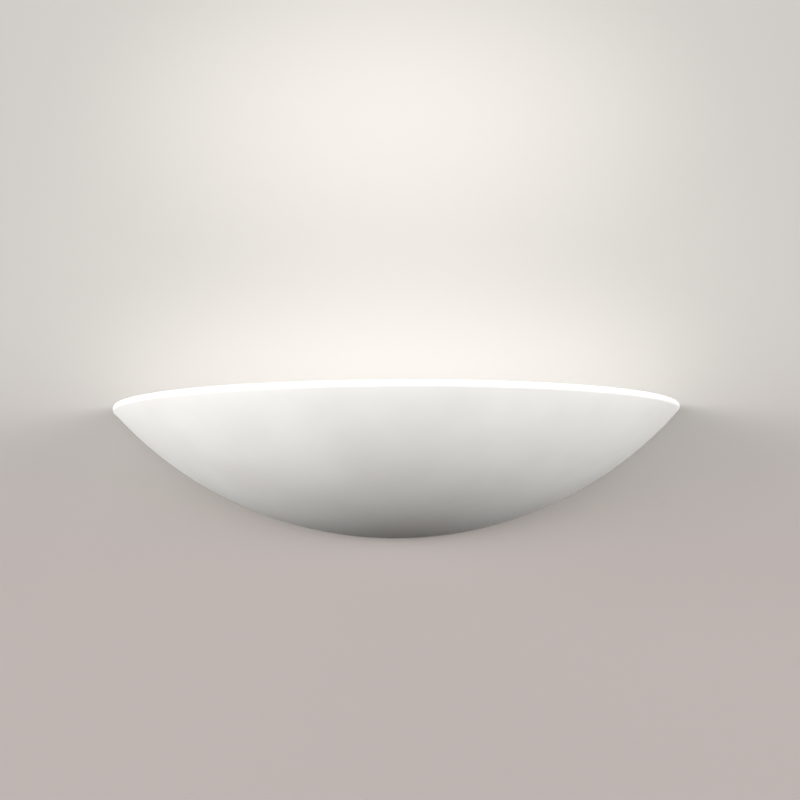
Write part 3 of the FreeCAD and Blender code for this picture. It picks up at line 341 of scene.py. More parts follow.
def zinc_plated_sheet():
    """Satin blue-grey with a faint straw drift over some centimetres. The sheet's rolling lines
    are drawn 0.4 mm apart, coarser than they are, so that they show."""
    material = new_material("zinc-plated cold-rolled steel")
    place = add_node(material, "TexCoord").outputs["Object"]
    drift = add_node(material, "TexNoise", {"Scale": 1 / 0.025, "Detail": 3.0}, Vector=place)
    colour = add_node(
        material, "ValToRGB", ramp=[(0.3, "aab0b5"), (0.55, "bfc2c3"), (0.75, "c9c6b8")],
        Fac=drift.outputs["Fac"],
    )
    along = add_node(
        material, "Mapping", {"Scale": (1 / 0.030, 1 / 0.0004, 1 / 0.0004)}, Vector=place
    )
    lines = add_node(material, "TexNoise", {"Scale": 1.0, "Detail": 2.0}, Vector=along.outputs[0])
    shine = add_node(
        material, "MapRange", {"To Min": 0.30, "To Max": 0.46}, Value=lines.outputs["Fac"]
    )
    grain = add_node(
        material, "Bump", {"Strength": 0.3, "Distance": 0.00003}, Height=lines.outputs["Fac"]
    )
    shader = add_node(
        material, "BsdfPrincipled", {"Metallic": 1.0},
        Base_Color=colour.outputs["Color"], Roughness=shine.outputs["Result"],
        Normal=grain.outputs["Normal"],
    )
    return finish_material(material, shader)


def finish_nodes(material, *names):
    """Gives nodes of the frame their real finish."""
    for name in names:
        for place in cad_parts[name].material_slots:
            place.material = material


finish_nodes(zinc_plated_sheet(), "wall_plate", "lamp_carrier")


# -----------------------------------------------------------------------------------------------
# Cable grommet: a moulded rubber ring, pressed into the plate's cable hole so that its flanges
# hold it there.


def moulded_rubber():
    """Black rubber from a blasted mould: nearly matt, with a fine even grain and a trace of
    bloom."""
    material = new_material("moulded black rubber")
    place = add_node(material, "TexCoord").outputs["Object"]
    bloom = add_node(material, "TexNoise", {"Scale": 1 / 0.006, "Detail": 4.0}, Vector=place)
    colour = add_node(
        material, "ValToRGB", ramp=[(0.35, "1a1a1b"), (0.75, "2c2b2b")], Fac=bloom.outputs["Fac"]
    )
    grit = add_node(material, "TexNoise", {"Scale": 1 / 0.0003, "Detail": 2.0}, Vector=place)
    grain = add_node(
        material, "Bump", {"Strength": 0.4, "Distance": 0.00004}, Height=grit.outputs["Fac"]
    )
    shader = add_node(
        material, "BsdfPrincipled", {"Roughness": 0.68, "Specular IOR Level": 0.4},
        Base_Color=colour.outputs["Color"], Normal=grain.outputs["Normal"],
    )
    return finish_material(material, shader)


finish_nodes(moulded_rubber(), "cable_grommet")


# -----------------------------------------------------------------------------------------------
# Steel screws, nuts, washer and the carrier's flush rivets: bought fasteners, cold headed and
# barrel plated with bright zinc, which knocks their edges soft.


def plated_metal(name, dark, light, roughness):
    """Thin bright plating over a headed or stamped piece: patches of 2 mm differ a little in
    tint and shine, with tiny handling marks."""
    material = new_material(name)
    place = add_node(material, "TexCoord").outputs["Object"]
    patches = add_node(material, "TexNoise", {"Scale": 1 / 0.002, "Detail": 3.0}, Vector=place)
    colour = add_node(
        material, "ValToRGB", ramp=[(0.3, dark), (0.7, light)], Fac=patches.outputs["Fac"]
    )
    marks = add_node(material, "TexNoise", {"Scale": 1 / 0.0005, "Detail": 3.0}, Vector=place)
    shine = add_node(
        material, "MapRange", {"To Min": roughness - 0.08, "To Max": roughness + 0.10},
        Value=marks.outputs["Fac"],
    )
    dents = add_node(
        material, "Bump", {"Strength": 0.25, "Distance": 0.00003}, Height=marks.outputs["Fac"]
    )
    shader = add_node(
        material, "BsdfPrincipled", {"Metallic": 1.0},
        Base_Color=colour.outputs["Color"], Roughness=shine.outputs["Result"],
        Normal=dents.outputs["Normal"],
    )
    return finish_material(material, shader)


finish_nodes(
    plated_metal("bright zinc plating", "b9bec4", "d3d3cf", 0.28),
    "carrier_rivets", "holder_screws", "holder_nuts", "terminal_screws", "block_screws",
    "earth_washer",
)


# -----------------------------------------------------------------------------------------------
# Reflector and its rivets: a trough folded from bright-rolled aluminium sheet, 0.8 mm thick, and
# four blind rivets of plain aluminium that hold it on the carrier.


def bright_rolled_aluminium():
    """Nearly a mirror, drawn out along the trough by rolling lines. These are drawn 0.3 mm
    apart."""
    material = new_material("bright-rolled aluminium")
    place = add_node(material, "TexCoord").outputs["Object"]
    along = add_node(
        material, "Mapping", {"Scale": (1 / 0.040, 1 / 0.0003, 1 / 0.0003)}, Vector=place
    )
    lines = add_node(material, "TexNoise", {"Scale": 1.0, "Detail": 3.0}, Vector=along.outputs[0])
    colour = add_node(
        material, "ValToRGB", ramp=[(0.3, "dcdfe2"), (0.7, "edeeee")], Fac=lines.outputs["Fac"]
    )
    shine = add_node(
        material, "MapRange", {"To Min": 0.12, "To Max": 0.26}, Value=lines.outputs["Fac"]
    )
    grain = add_node(
        material, "Bump", {"Strength": 0.2, "Distance": 0.00002}, Height=lines.outputs["Fac"]
    )
    shader = add_node(
        material, "BsdfPrincipled", {"Metallic": 1.0},
        Base_Color=colour.outputs["Color"], Roughness=shine.outputs["Result"],
        Normal=grain.outputs["Normal"],
    )
    return finish_material(material, shader)


finish_nodes(bright_rolled_aluminium(), "reflector")
finish_nodes(plated_metal("plain aluminium", "c3c5c8", "d9dadb", 0.36), "reflector_rivets")


# -----------------------------------------------------------------------------------------------
# Lampholders and the lamp's end caps: dry-pressed steatite, fired and left unglazed. Each holder
# is screwed down on the carrier, and each cap is cemented on a flattened end of the quartz tube.


def pressed_steatite(name, dark, light):
    """Cream, waxy matt ceramic: a granular skin about 0.3 mm coarse, and a few darker specks."""
    material = new_material(name)
    place = add_node(material, "TexCoord").outputs["Object"]
    body = add_node(material, "TexNoise", {"Scale": 1 / 0.008, "Detail": 4.0}, Vector=place)
    colour = add_node(
        material, "ValToRGB", ramp=[(0.3, dark), (0.7, light)], Fac=body.outputs["Fac"]
    )
    cells = add_node(material, "TexVoronoi", {"Scale": 1 / 0.0025}, Vector=place)
    specks = add_node(
        material, "ValToRGB", ramp=[(0.06, "a89f8c"), (0.12, "ffffff")],
        Fac=cells.outputs["Distance"],
    )
    tinted = add_node(
        material, "MixRGB", {"blend_type": "MULTIPLY", "Fac": 0.7},
        Color1=colour.outputs["Color"], Color2=specks.outputs["Color"],
    )
    grit = add_node(material, "TexNoise", {"Scale": 1 / 0.0003, "Detail": 3.0}, Vector=place)
    grain = add_node(
        material, "Bump", {"Strength": 0.35, "Distance": 0.00005}, Height=grit.outputs["Fac"]
    )
    shader = add_node(
        material, "BsdfPrincipled", {"Roughness": 0.6, "Specular IOR Level": 0.4},
        Base_Color=tinted.outputs["Color"], Normal=grain.outputs["Normal"],
    )
    return finish_material(material, shader)


finish_nodes(pressed_steatite("steatite", "e2dac8", "ece5d6"), "left_holder", "right_holder")
finish_nodes(pressed_steatite("lamp cap steatite", "e9e4d8", "f1ede3"), "lamp_caps")


# -----------------------------------------------------------------------------------------------
# Contacts, terminal tubes and earth screw: turned from brass rod and left bare. The pin and the
# sleeve are pressed into their holders, and the plunger slides in the sleeve.


def turned_brass():
    """Warm yellow metal, slightly tarnished in patches, with fine rings from the turning tool.
    These run round the lamp's axis and are drawn 0.25 mm apart."""
    material = new_material("turned brass")
    place = add_node(material, "TexCoord").outputs["Object"]
    tarnish = add_node(material, "TexNoise", {"Scale": 1 / 0.004, "Detail": 4.0}, Vector=place)
    colour = add_node(
        material, "ValToRGB", ramp=[(0.3, "a98546"), (0.6, "c8a45f"), (0.8, "d4b374")],
        Fac=tarnish.outputs["Fac"],
    )
    across = add_node(
        material, "Mapping", {"Scale": (1 / 0.00025, 1 / 0.020, 1 / 0.020)}, Vector=place
    )
    rings = add_node(material, "TexNoise", {"Scale": 1.0, "Detail": 1.0}, Vector=across.outputs[0])
    cut = add_node(
        material, "Bump", {"Strength": 0.35, "Distance": 0.00003}, Height=rings.outputs["Fac"]
    )
    shine = add_node(
        material, "MapRange", {"To Min": 0.20, "To Max": 0.42}, Value=tarnish.outputs["Fac"]
    )
    shader = add_node(
        material, "BsdfPrincipled", {"Metallic": 1.0},
        Base_Color=colour.outputs["Color"], Roughness=shine.outputs["Result"],
        Normal=cut.outputs["Normal"],
    )
    return finish_material(material, shader)


finish_nodes(
    turned_brass(),
    "left_contact", "contact_sleeve", "contact_plunger", "terminal_tubes", "earth_screw",
)


# -----------------------------------------------------------------------------------------------
# Contact spring: 0.5 mm hard-drawn steel wire, coiled with four and a half turns. It sits in the
# sleeve behind the plunger, and shortens as the lamp is pushed to the right.

LAMP_Y = -0.050
LAMP_Z = -0.014323
SPRING_START_X = 0.0668
SPRING_END_X = 0.0735
SPRING_DIAMETER = 0.0044
SPRING_WIRE = 0.0005
SPRING_TURNS = 4.5


def coil(name, wire, diameter, start_x, end_x, turns, steps_per_turn, sides):
    """Helix of round wire about the lamp's axis, made from one ring and closed at its two
    ends."""
    deselect()
    bpy.ops.mesh.primitive_circle_add(
        vertices=sides, radius=wire / 2,
        location=(start_x + wire / 2, 0, (diameter - wire) / 2),
        rotation=(math.radians(90), 0, 0),
    )
    piece = settle(bpy.context.object, name)
    steps = round(turns * steps_per_turn)
    apply_modifier(
        piece, "SCREW", axis="X", angle=2 * math.pi * turns, steps=steps, render_steps=steps,
        screw_offset=end_x - start_x - wire, use_normal_calculate=True,
    )
    bpy.ops.object.mode_set(mode="EDIT")
    bpy.ops.mesh.select_all(action="SELECT")
    bpy.ops.mesh.fill_holes(sides=0)
    bpy.ops.mesh.select_all(action="SELECT")
    bpy.ops.mesh.normals_make_consistent(inside=False)
    bpy.ops.object.mode_set(mode="OBJECT")
    piece.location = (0, LAMP_Y, LAMP_Z)
    smooth(settle(piece, name), 60)
    return piece


spring = coil(
    "wire_spring", SPRING_WIRE, SPRING_DIAMETER, SPRING_START_X, SPRING_END_X, SPRING_TURNS,
    steps_per_turn=32, sides=12,
)


def drawn_wire(name, dark, light, roughness):
    """Cold-drawn wire: a dull even metal with faint die lines, drawn 0.1 mm apart."""
    material = new_material(name)
    place = add_node(material, "TexCoord").outputs["Object"]
    lines = add_node(material, "TexNoise", {"Scale": 1 / 0.0001, "Detail": 2.0}, Vector=place)
    colour = add_node(
        material, "ValToRGB", ramp=[(0.3, dark), (0.7, light)], Fac=lines.outputs["Fac"]
    )
    shine = add_node(
        material, "MapRange", {"To Min": roughness - 0.06, "To Max": roughness + 0.08},
        Value=lines.outputs["Fac"],
    )
    shader = add_node(
        material, "BsdfPrincipled", {"Metallic": 1.0},
        Base_Color=colour.outputs["Color"], Roughness=shine.outputs["Result"],
    )
    return finish_material(material, shader)


spring_wire = drawn_wire("drawn spring steel", "85878a", "a3a5a7", 0.32)
dress(spring, spring_wire, "wall_unit")
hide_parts("contact_spring")
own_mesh(spring)


# -----------------------------------------------------------------------------------------------
# Filament: tungsten wire wound into one long coil, hung on thin rings that touch the inside of
# the tube. Straight wires carry it to the sealing foils.

FILAMENT_HALF = 0.035
FILAMENT_DIAMETER = 0.0011
FILAMENT_WIRE = 0.00022
FILAMENT_TURNS = 140
FOIL_X = 0.04225
LEAD_IN_DIAMETER = 0.0006
LEAD_IN_OVERLAP = 0.003
SUPPORT_WIRE = 0.0003
SUPPORT_COUNT = 5
SUPPORT_RADIUS = 0.00333


def join(pieces, name):
    """Makes the pieces one mesh."""
    deselect()
    for piece in pieces:
        piece.select_set(True)
    bpy.context.view_layer.objects.active = pieces[0]
    bpy.ops.object.join()
    return settle(pieces[0], name)


def straight_wire(diameter, start, end, edge):
    """Cut length of wire with its two ends rounded off."""
    start, end = Vector(start), Vector(end)
    deselect()
    bpy.ops.mesh.primitive_cylinder_add(
        vertices=16, radius=diameter / 2, depth=(end - start).length, location=(start + end) / 2,
        rotation=(end - start).to_track_quat("Z", "Y").to_euler(),
    )
    piece = settle(bpy.context.object, "wire")
    edges_where(piece, lambda a, b: abs((a - b).dot((end - start).normalized())) < 1e-7)
    bpy.ops.mesh.bevel(offset=edge, offset_type="OFFSET", segments=2, affect="EDGES")
    bpy.ops.object.mode_set(mode="OBJECT")
    smooth(piece, 50)
    return piece


def filament_support():
    """Wire ring round the coil, and the spoke that joins the two."""
    deselect()
    bpy.ops.mesh.primitive_torus_add(
        major_radius=SUPPORT_RADIUS, minor_radius=SUPPORT_WIRE / 2,
        major_segments=32, minor_segments=8,
        location=(0, LAMP_Y, LAMP_Z), rotation=(0, math.radians(90), 0),
    )
    ring = settle(bpy.context.object, "ring")
    smooth(ring, 60)
    foot = LAMP_Z + FILAMENT_DIAMETER / 2 - FILAMENT_WIRE
    spoke = straight_wire(
        SUPPORT_WIRE, (0, LAMP_Y, foot), (0, LAMP_Y, LAMP_Z + SUPPORT_RADIUS), SUPPORT_WIRE / 4
    )
    return join([ring, spoke], "support")


def copy_of(piece, x):
    """Copy with its own mesh, moved along the lamp."""
    copy = piece.copy()
    copy.data = piece.data.copy()
    bpy.context.collection.objects.link(copy)
    copy.location.x = x
    return settle(copy, piece.name)


winding = coil(
    "winding", FILAMENT_WIRE, FILAMENT_DIAMETER, -FILAMENT_HALF, FILAMENT_HALF, FILAMENT_TURNS,
    steps_per_turn=12, sides=5,
)
first_support = filament_support()
filament_parts = [winding]
for step in range(SUPPORT_COUNT):
    place = (step - (SUPPORT_COUNT - 1) / 2) * 2 * FILAMENT_HALF / SUPPORT_COUNT
    filament_parts.append(copy_of(first_support, place))
bpy.data.objects.remove(first_support)
for side in (-1, 1):
    filament_parts.append(straight_wire(
        LEAD_IN_DIAMETER,
        (side * (FILAMENT_HALF - LEAD_IN_OVERLAP), LAMP_Y, LAMP_Z),
        (side * FOIL_X, LAMP_Y, LAMP_Z),
        LEAD_IN_DIAMETER / 6,
    ))
filament = join(filament_parts, "tungsten_filament")
tungsten = drawn_wire("drawn tungsten", "5b5a58", "7c7a77", 0.42)
dress(filament, tungsten, "lamp")
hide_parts("lamp_filament")
finish_nodes(drawn_wire("molybdenum foil", "8f8b86", "aaa6a0", 0.30), "lamp_foils")


# -----------------------------------------------------------------------------------------------
# Lamp tube and end buttons: clear fused quartz, drawn as tube and pinched flat round the foils
# while soft, and nickel-plated contact buttons set in the end caps.


def fused_quartz():
    """Clear, slightly uneven glass: its drawn skin has long shallow waves about 6 mm apart."""
    material = new_material("fused quartz")
    place = add_node(material, "TexCoord").outputs["Object"]
    along = add_node(
        material, "Mapping", {"Scale": (1 / 0.012, 1 / 0.006, 1 / 0.006)}, Vector=place
    )
    waves = add_node(material, "TexNoise", {"Scale": 1.0, "Detail": 1.0}, Vector=along.outputs[0])
    skin = add_node(
        material, "Bump", {"Strength": 0.15, "Distance": 0.00005}, Height=waves.outputs["Fac"]
    )
    shader = add_node(
        material, "BsdfPrincipled",
        {"Base Color": "fbfdfd", "Roughness": 0.02, "IOR": 1.458, "Transmission Weight": 1.0},
        Normal=skin.outputs["Normal"],
    )
    return finish_material(material, shader)


finish_nodes(fused_quartz(), "lamp_tube")
finish_nodes(plated_metal("nickel plating", "b8b1a6", "cbc5ba", 0.26), "lamp_buttons")


# -----------------------------------------------------------------------------------------------
# Terminal block: three poles moulded in one strip of natural nylon, which carries the brass
# terminal tubes. Two screws hold it on the plate.


def natural_nylon():
    """Milky white plastic that lets a little light in, with a soft sheen and faint flow
    marks."""
    material = new_material("natural nylon")
    place = add_node(material, "TexCoord").outputs["Object"]
    flow = add_node(material, "TexNoise", {"Scale": 1 / 0.010, "Detail": 3.0}, Vector=place)
    colour = add_node(
        material, "ValToRGB", ramp=[(0.3, "dedcd3"), (0.7, "ebeae4")], Fac=flow.outputs["Fac"]
    )
    skin = add_node(material, "TexNoise", {"Scale": 1 / 0.0006, "Detail": 2.0}, Vector=place)
    grain = add_node(
        material, "Bump", {"Strength": 0.2, "Distance": 0.00003}, Height=skin.outputs["Fac"]
    )
    shader = add_node(
        material, "BsdfPrincipled",
        {
            "Roughness": 0.42, "IOR": 1.53, "Subsurface Weight": 0.15,
            "Subsurface Radius": (0.002, 0.002, 0.0018), "Subsurface Scale": 1.0,
        },
        Base_Color=colour.outputs["Color"], Normal=grain.outputs["Normal"],
    )
    return finish_material(material, shader)


finish_nodes(natural_nylon(), "terminal_block")
finish_nodes(plated_metal("tinned copper", "b4b2ac", "cdccc7", 0.34), "earth_tag")


# -----------------------------------------------------------------------------------------------
# Internal leads: tinned stranded copper in silicone rubber sleeves, 2 mm across. Earth runs from
# the block to the tag, live to the left contact, neutral to the right one. Their bare ends are
# clamped in the terminals and brazed into the contacts.

LEAD_DIAMETER = 0.002
CORE_DIAMETER = 0.001
CORE_IN_TERMINAL = 0.006
CORE_IN_SLEEVE = 0.0005
LEAD_ROUTES = {
    "earth": [
        (-0.0206, -0.0085, -0.0049), (-0.0331, -0.0085, -0.0046), (-0.0405, -0.0065, -0.0078),
        (-0.0420, -0.0033, -0.0128), (-0.0420, -0.0033, -0.0193),
    ],
    "live": [
        (-0.0206, -0.0085, -0.0154), (-0.0336, -0.0095, -0.0159), (-0.0476, -0.0145, -0.0169),
        (-0.0620, -0.0250, -0.0193), (-0.0680, -0.0340, -0.0203), (-0.0680, -0.0450, -0.0203),
    ],
    "neutral": [
        (-0.0206, -0.0085, -0.0259), (-0.0301, -0.0085, -0.0259), (-0.0341, -0.0168, -0.0256),
        (-0.0286, -0.0250, -0.0252), (-0.0047, -0.0240, -0.0242), (0.0272, -0.0260, -0.0232),
        (0.0610, -0.0290, -0.0193), (0.0680, -0.0360, -0.0203), (0.0680, -0.0450, -0.0203),
    ],
}
CORE_BEND = (0.0680, -0.0460, -0.0203)
LIVE_CORE_END = (-0.0680, -0.0490, -0.0158)
NEUTRAL_CORE_END = (0.0680, -0.0485, -0.0167)


def tube_on(points, diameter, name):
    """Round lead on one smooth curve, made a mesh and closed at both ends."""
    deselect()
    bpy.ops.curve.primitive_nurbs_path_add()
    line = bpy.context.object
    line.data.splines.clear()
    spline = line.data.splines.new("NURBS")
    spline.points.add(len(points) - 1)
    for point, place in zip(spline.points, points):
        point.co = (*place, 1.0)
    spline.order_u = 3
    spline.use_endpoint_u = True
    spline.resolution_u = 10
    line.data.bevel_depth = diameter / 2
    line.data.bevel_resolution = 4
    line.data.use_fill_caps = True
    bpy.ops.object.convert(target="MESH")
    piece = settle(bpy.context.object, name)
    bpy.ops.object.mode_set(mode="EDIT")
    bpy.ops.mesh.select_all(action="SELECT")
    bpy.ops.mesh.remove_doubles(threshold=1e-6)
    bpy.ops.mesh.normals_make_consistent(inside=False)
    bpy.ops.object.mode_set(mode="OBJECT")
    smooth(piece, 50)
    return piece


def silicone_sleeve(name, dark, light, stripe=None):
    """Soft rubbery sleeve with a dull sheen. A stripe, where there is one, runs along the lead
    and covers half of it."""
    material = new_material(name)
    coordinates = add_node(material, "TexCoord")
    drift = add_node(
        material, "TexNoise", {"Scale": 1 / 0.003, "Detail": 3.0},
        Vector=coordinates.outputs["Object"],
    )
    colour = add_node(
        material, "ValToRGB", ramp=[(0.3, dark), (0.7, light)], Fac=drift.outputs["Fac"]
    )
    if stripe:
        around = add_node(material, "SeparateXYZ", Vector=coordinates.outputs["UV"])
        band = add_node(
            material, "Math", {"operation": "PINGPONG", 1: 0.25}, _0=around.outputs["Y"]
        )
        edge = add_node(
            material, "Math", {"operation": "GREATER_THAN", 1: 0.125}, _0=band.outputs[0]
        )
        colour = add_node(
            material, "MixRGB", {"Color2": stripe}, Fac=edge.outputs[0],
            Color1=colour.outputs["Color"],
        )
    shader = add_node(
        material, "BsdfPrincipled", {"Roughness": 0.55, "Specular IOR Level": 0.4},
        Base_Color=colour.outputs["Color"],
    )
    return finish_material(material, shader)


sleeves = {
    "earth": silicone_sleeve("green and yellow silicone", "3f8a35", "4b9a3f", "e0c93a"),
    "live": silicone_sleeve("brown silicone", "5a3620", "6d4429"),
    "neutral": silicone_sleeve("blue silicone", "2c5fa6", "3a72ba"),
}
bare_copper = drawn_wire("tinned copper strand", "b4b1aa", "cfccc6", 0.34)
for wire, route in LEAD_ROUTES.items():
    sleeve = tube_on(route, LEAD_DIAMETER, f"{wire}_sleeve_tube")
    dress(sleeve, sleeves[wire], "wall_unit")
    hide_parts(f"{wire}_lead")
    outer = Vector(route[0]) - Vector((CORE_IN_SLEEVE, 0, 0))
    inner = Vector(route[0]) + Vector((CORE_IN_TERMINAL, 0, 0))
    core = straight_wire(CORE_DIAMETER, outer, inner, CORE_DIAMETER / 6)
    dress(settle(core, f"{wire}_core_at_terminal"), bare_copper, "wall_unit")

for wire, side, core_end in (("live", -1, LIVE_CORE_END), ("neutral", 1, NEUTRAL_CORE_END)):
    bend = Vector(CORE_BEND)
    bend.x *= side
    start = Vector(LEAD_ROUTES[wire][-1]) + Vector((0, CORE_IN_SLEEVE, 0))
    core = tube_on([start, bend, Vector(core_end)], CORE_DIAMETER, f"{wire}_core_at_contact")
    dress(core, bare_copper, "wall_unit")


# -----------------------------------------------------------------------------------------------
# Backdrop and floor: a painted wall just behind the light, which shows only from the front, with
# the soft glow of an uplighter painted on it, and a pale floor well below. Neither is part of
# the object.

WALL_Y = 0.004
REACH_BEHIND = 0.012
FLOOR_Z = -1.2
WALL_SIZE = 8
FLOOR_SIZE = 12
# Heights over which the wall is painted from its plain colour up to its paler, painted-lit colour
# above the rim.
PAINT_LOW_Z, PAINT_HIGH_Z = -0.13, 0.09
# Ovals of painted light, where the uplighter's glow would fall on the wall above its rim.
PAINTED_GLOWS = (
    {"centre_z": 0.010, "half_width": 0.300, "half_height": 0.160, "share": 0.90},
    {"centre_z": 0.245, "half_width": 0.270, "half_height": 0.150, "share": 0.60},
    {"centre_z": 0.130, "half_width": 0.370, "half_height": 0.460, "share": 0.45},
)

deselect()
bpy.ops.mesh.primitive_plane_add(
    size=WALL_SIZE, location=(0, WALL_Y, 0), rotation=(math.radians(90), 0, 0)
)
wall = settle(bpy.context.object, "wall")
deselect()
bpy.ops.mesh.primitive_plane_add(size=FLOOR_SIZE, location=(0, 0, FLOOR_Z))
floor = settle(bpy.context.object, "floor")


def glow(material, place, centre_z, half_width, half_height, share):
    """Oval of painted light on the wall: it fades from its share of 1 at its middle to 0 at its
    edge.
    """
    scale = (1 / half_width, 1.0, 1 / half_height)
    shifted = add_node(
        material, "Mapping", {"Location": (0, 0, -centre_z / half_height), "Scale": scale},
        Vector=place,
    )
    oval = add_node(
        material, "TexGradient", {"gradient_type": "SPHERICAL"}, Vector=shifted.outputs[0]
    )
    fade = add_node(
        material, "MapRange", {"interpolation_type": "SMOOTHSTEP"}, Value=oval.outputs["Fac"]
    )
    return add_node(
        material, "Math", {"operation": "MULTIPLY", 1: share}, _0=fade.outputs["Result"]
    ).outputs[0]


def little_bounce(material, shader):
    """The paint as it is seen, which throws only a little light back on the object."""
    ray = add_node(material, "LightPath").outputs["Is Diffuse Ray"]
    dim = add_node(material, "BsdfDiffuse", {"Color": "3a3a3a"})
    return add_node(material, "MixShader", Fac=ray, _1=shader.outputs[0], _2=dim.outputs[0])


def painted_wall(low, lit_above, lit):
    """Emulsion paint with a roller's fine stipple. Painted light: above the light's rim it is
    painted paler, as the lamp's light would make it, and palest in painted pools of light in the
    ovals where that light falls. It isn't seen from behind, and lets in light from there to
    surfaces that lie close in front of it, so the object's back isn't black."""
    material = new_material("wall paint")
    place = add_node(material, "TexCoord").outputs["Object"]
    height = add_node(material, "SeparateXYZ", Vector=place).outputs["Z"]
    # Painted light: the paint goes from its plain colour below to a paler colour above the rim, as
    # if the lamp lit it.
    painted_light_rise = add_node(
        material, "MapRange",
        {
            "interpolation_type": "SMOOTHSTEP",
            "From Min": PAINT_LOW_Z, "From Max": PAINT_HIGH_Z,
        },
        Value=height,
    )
    paint = add_node(
        material, "MixRGB", {"Color1": low, "Color2": lit_above}, Fac=painted_light_rise.outputs["Result"]
    )
    # Painted pools of light: each oval mixes in the lit colour, and only above the rim.
    for oval in PAINTED_GLOWS:
        above = add_node(
            material, "Math", {"operation": "MULTIPLY"}, _0=glow(material, place, **oval),
            _1=painted_light_rise.outputs["Result"],
        )
        paint = add_node(
            material, "MixRGB", {"Color2": lit}, Fac=above.outputs[0],
            Color1=paint.outputs["Color"],
        )
    stipple = add_node(material, "TexNoise", {"Scale": 1 / 0.004, "Detail": 2.0}, Vector=place)
    bump = add_node(
        material, "Bump", {"Strength": 0.1, "Distance": 0.0002}, Height=stipple.outputs["Fac"]
    )
    front = add_node(
        material, "BsdfPrincipled", {"Roughness": 0.9, "Specular IOR Level": 0.2},
        Base_Color=paint.outputs["Color"], Normal=bump.outputs["Normal"],
    )
    ray = add_node(material, "LightPath").outputs
    close = add_node(
        material, "Math", {"operation": "LESS_THAN", 1: REACH_BEHIND}, _0=ray["Ray Length"]
    )
    seen = add_node(
        material, "Math", {"operation": "SUBTRACT", "use_clamp": True},
        _0=close.outputs[0], _1=ray["Is Camera Ray"],
    )
    side = add_node(material, "NewGeometry").outputs["Backfacing"]
    passing = add_node(material, "Math", {"operation": "MAXIMUM"}, _0=seen.outputs[0], _1=side)
    clear = add_node(material, "BsdfTransparent")
    shader = add_node(
        material, "MixShader", Fac=passing.outputs[0],
        _1=little_bounce(material, front).outputs[0], _2=clear.outputs[0],
    )
    return finish_material(material, shader)


def painted_floor():
    """Pale matt paint."""
    material = new_material("floor paint")
    place = add_node(material, "TexCoord").outputs["Object"]
    stipple = add_node(material, "TexNoise", {"Scale": 1 / 0.006, "Detail": 2.0}, Vector=place)
    bump = add_node(
        material, "Bump", {"Strength": 0.1, "Distance": 0.0002}, Height=stipple.outputs["Fac"]
    )
    shader = add_node(
        material, "BsdfPrincipled", {"Base Color": "d9d5d2", "Roughness": 0.9},
        Normal=bump.outputs["Normal"],
    )
    return finish_material(material, little_bounce(material, shader))


# Plain wall colour, the paler painted light above the rim, and the palest painted glow in the
# ovals.
wall.data.materials.append(painted_wall("958e8c", "a19e9b", "c8c5c0"))
floor.data.materials.append(painted_floor())


# -----------------------------------------------------------------------------------------------
# Camera: 1.5 m from the wall and a little below the rim, tilted up.

CAMERA_PLACE = (0.0028, -1.5, -0.1099)
TILT_UP = 0.0905
ROLL = -0.0047
FOCAL_PIXELS = 2029.6
SENSOR_WIDTH = 36
PHOTO_PIXELS = 800

deselect()
turn = Matrix.Rotation(math.radians(90) + TILT_UP, 3, "X") @ Matrix.Rotation(ROLL, 3, "Z")
bpy.ops.object.camera_add(location=CAMERA_PLACE, rotation=turn.to_euler())
camera = bpy.context.object
bpy.context.scene.camera = camera
camera.data.sensor_width = SENSOR_WIDTH
camera.data.lens = FOCAL_PIXELS * SENSOR_WIDTH / PHOTO_PIXELS
camera.data.dof.use_dof = False


# -----------------------------------------------------------------------------------------------
# Light: a soft band at the height of the light, as long softboxes give. It is strong at the two
# sides, a little more so at the left, and weak in front. Behind is an even fill, and one softbox
# hangs overhead. What the camera, mirrors and glass see of the studio is plain and pale.


def soft_light(name, place, target, size, power):
    deselect()
    bpy.ops.object.light_add(type="AREA", location=place)
    lamp = bpy.context.object
    lamp.name = name
    lamp.rotation_euler = (Vector(target) - Vector(place)).to_track_quat("-Z", "Y").to_euler()
    lamp.data.size = size
    lamp.data.energy = power
    lamp.visible_camera = False


soft_light("overhead", place=(-0.2, -0.7, 1.6), target=(0, -0.1, 0), size=1.4, power=5)

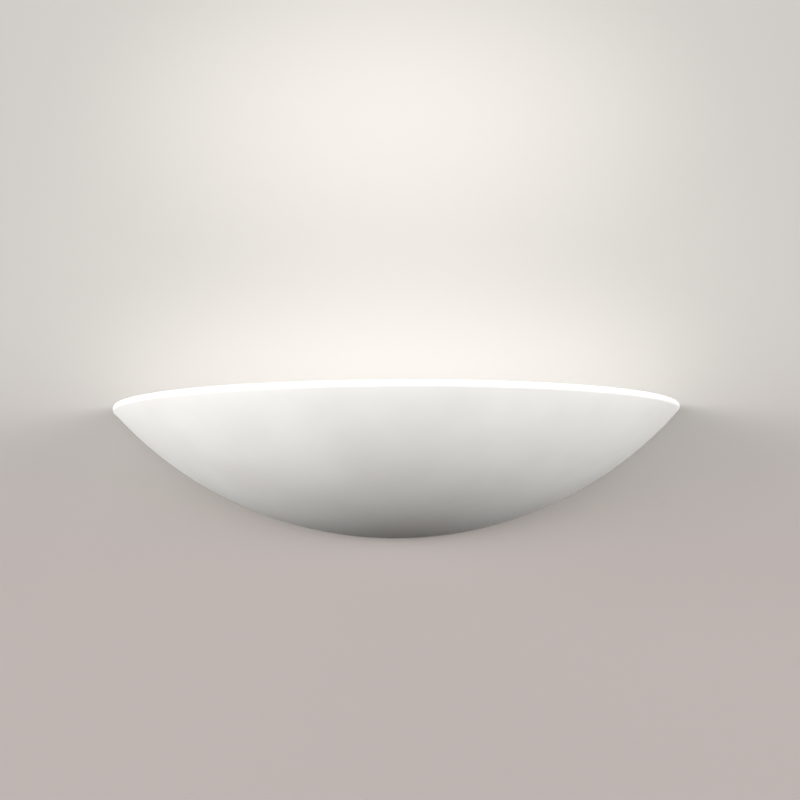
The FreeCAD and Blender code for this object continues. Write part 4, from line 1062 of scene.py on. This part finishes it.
BAND_STRENGTH = 13.9
FRONT_SHARE = 0.28
LEFT_GAIN = 1.28
BACK_STRENGTH = 0.9
BEHIND_EDGE = 0.1
world = bpy.data.worlds.new("studio")
bpy.context.scene.world = world
world.use_nodes = True
world.node_tree.nodes.clear()
heading = add_node(world, "TexCoord").outputs["Generated"]
parts = add_node(world, "SeparateXYZ", Vector=heading)
level = add_node(world, "MapRange", {"From Min": -1.0, "From Max": 1.0}, Value=parts.outputs["Z"])
band = add_node(
    world, "ValToRGB",
    ramp=[
        (0.0, "000000"), (0.41, "000000"), (0.47, "a09b95"), (0.53, "ffffff"), (0.60, "e6e6e6"),
        (0.68, "707070"), (0.80, "202020"), (1.0, "202020"),
    ],
    Fac=level.outputs["Result"],
)
sideways = add_node(
    world, "Math", {"operation": "MULTIPLY"}, _0=parts.outputs["X"], _1=parts.outputs["X"]
)
strength = add_node(
    world, "MapRange", {"To Min": FRONT_SHARE * BAND_STRENGTH, "To Max": BAND_STRENGTH},
    Value=sideways.outputs[0],
)
lean = add_node(
    world, "MapRange", {"From Min": -1.0, "To Min": LEFT_GAIN, "To Max": 1.0},
    Value=parts.outputs["X"],
)
uneven = add_node(
    world, "Math", {"operation": "MULTIPLY"}, _0=strength.outputs["Result"],
    _1=lean.outputs["Result"],
)
softboxes = add_node(
    world, "Background", Color=band.outputs["Color"], Strength=uneven.outputs[0]
)
fill = add_node(world, "Background", {"Color": "ffffff", "Strength": BACK_STRENGTH})
behind = add_node(
    world, "MapRange", {"From Min": -BEHIND_EDGE, "From Max": BEHIND_EDGE},
    Value=parts.outputs["Y"],
)
lighting = add_node(
    world, "MixShader", Fac=behind.outputs["Result"],
    _1=softboxes.outputs[0], _2=fill.outputs[0],
)
pale = add_node(
    world, "ValToRGB", ramp=[(0.35, "cfccc9"), (0.65, "f1efec")], Fac=level.outputs["Result"]
)
shown = add_node(world, "Background", {"Strength": 1.0}, Color=pale.outputs["Color"])
rays = add_node(world, "LightPath").outputs
seen = add_node(
    world, "Math", {"operation": "MAXIMUM"}, _0=rays["Is Camera Ray"], _1=rays["Is Glossy Ray"]
)
seen = add_node(
    world, "Math", {"operation": "MAXIMUM"}, _0=seen.outputs[0], _1=rays["Is Transmission Ray"]
)
sky = add_node(
    world, "MixShader", Fac=seen.outputs[0], _1=lighting.outputs[0], _2=shown.outputs[0]
)
add_node(world, "OutputWorld", Surface=sky.outputs[0])

bpy.context.scene.view_settings.view_transform = "Standard"
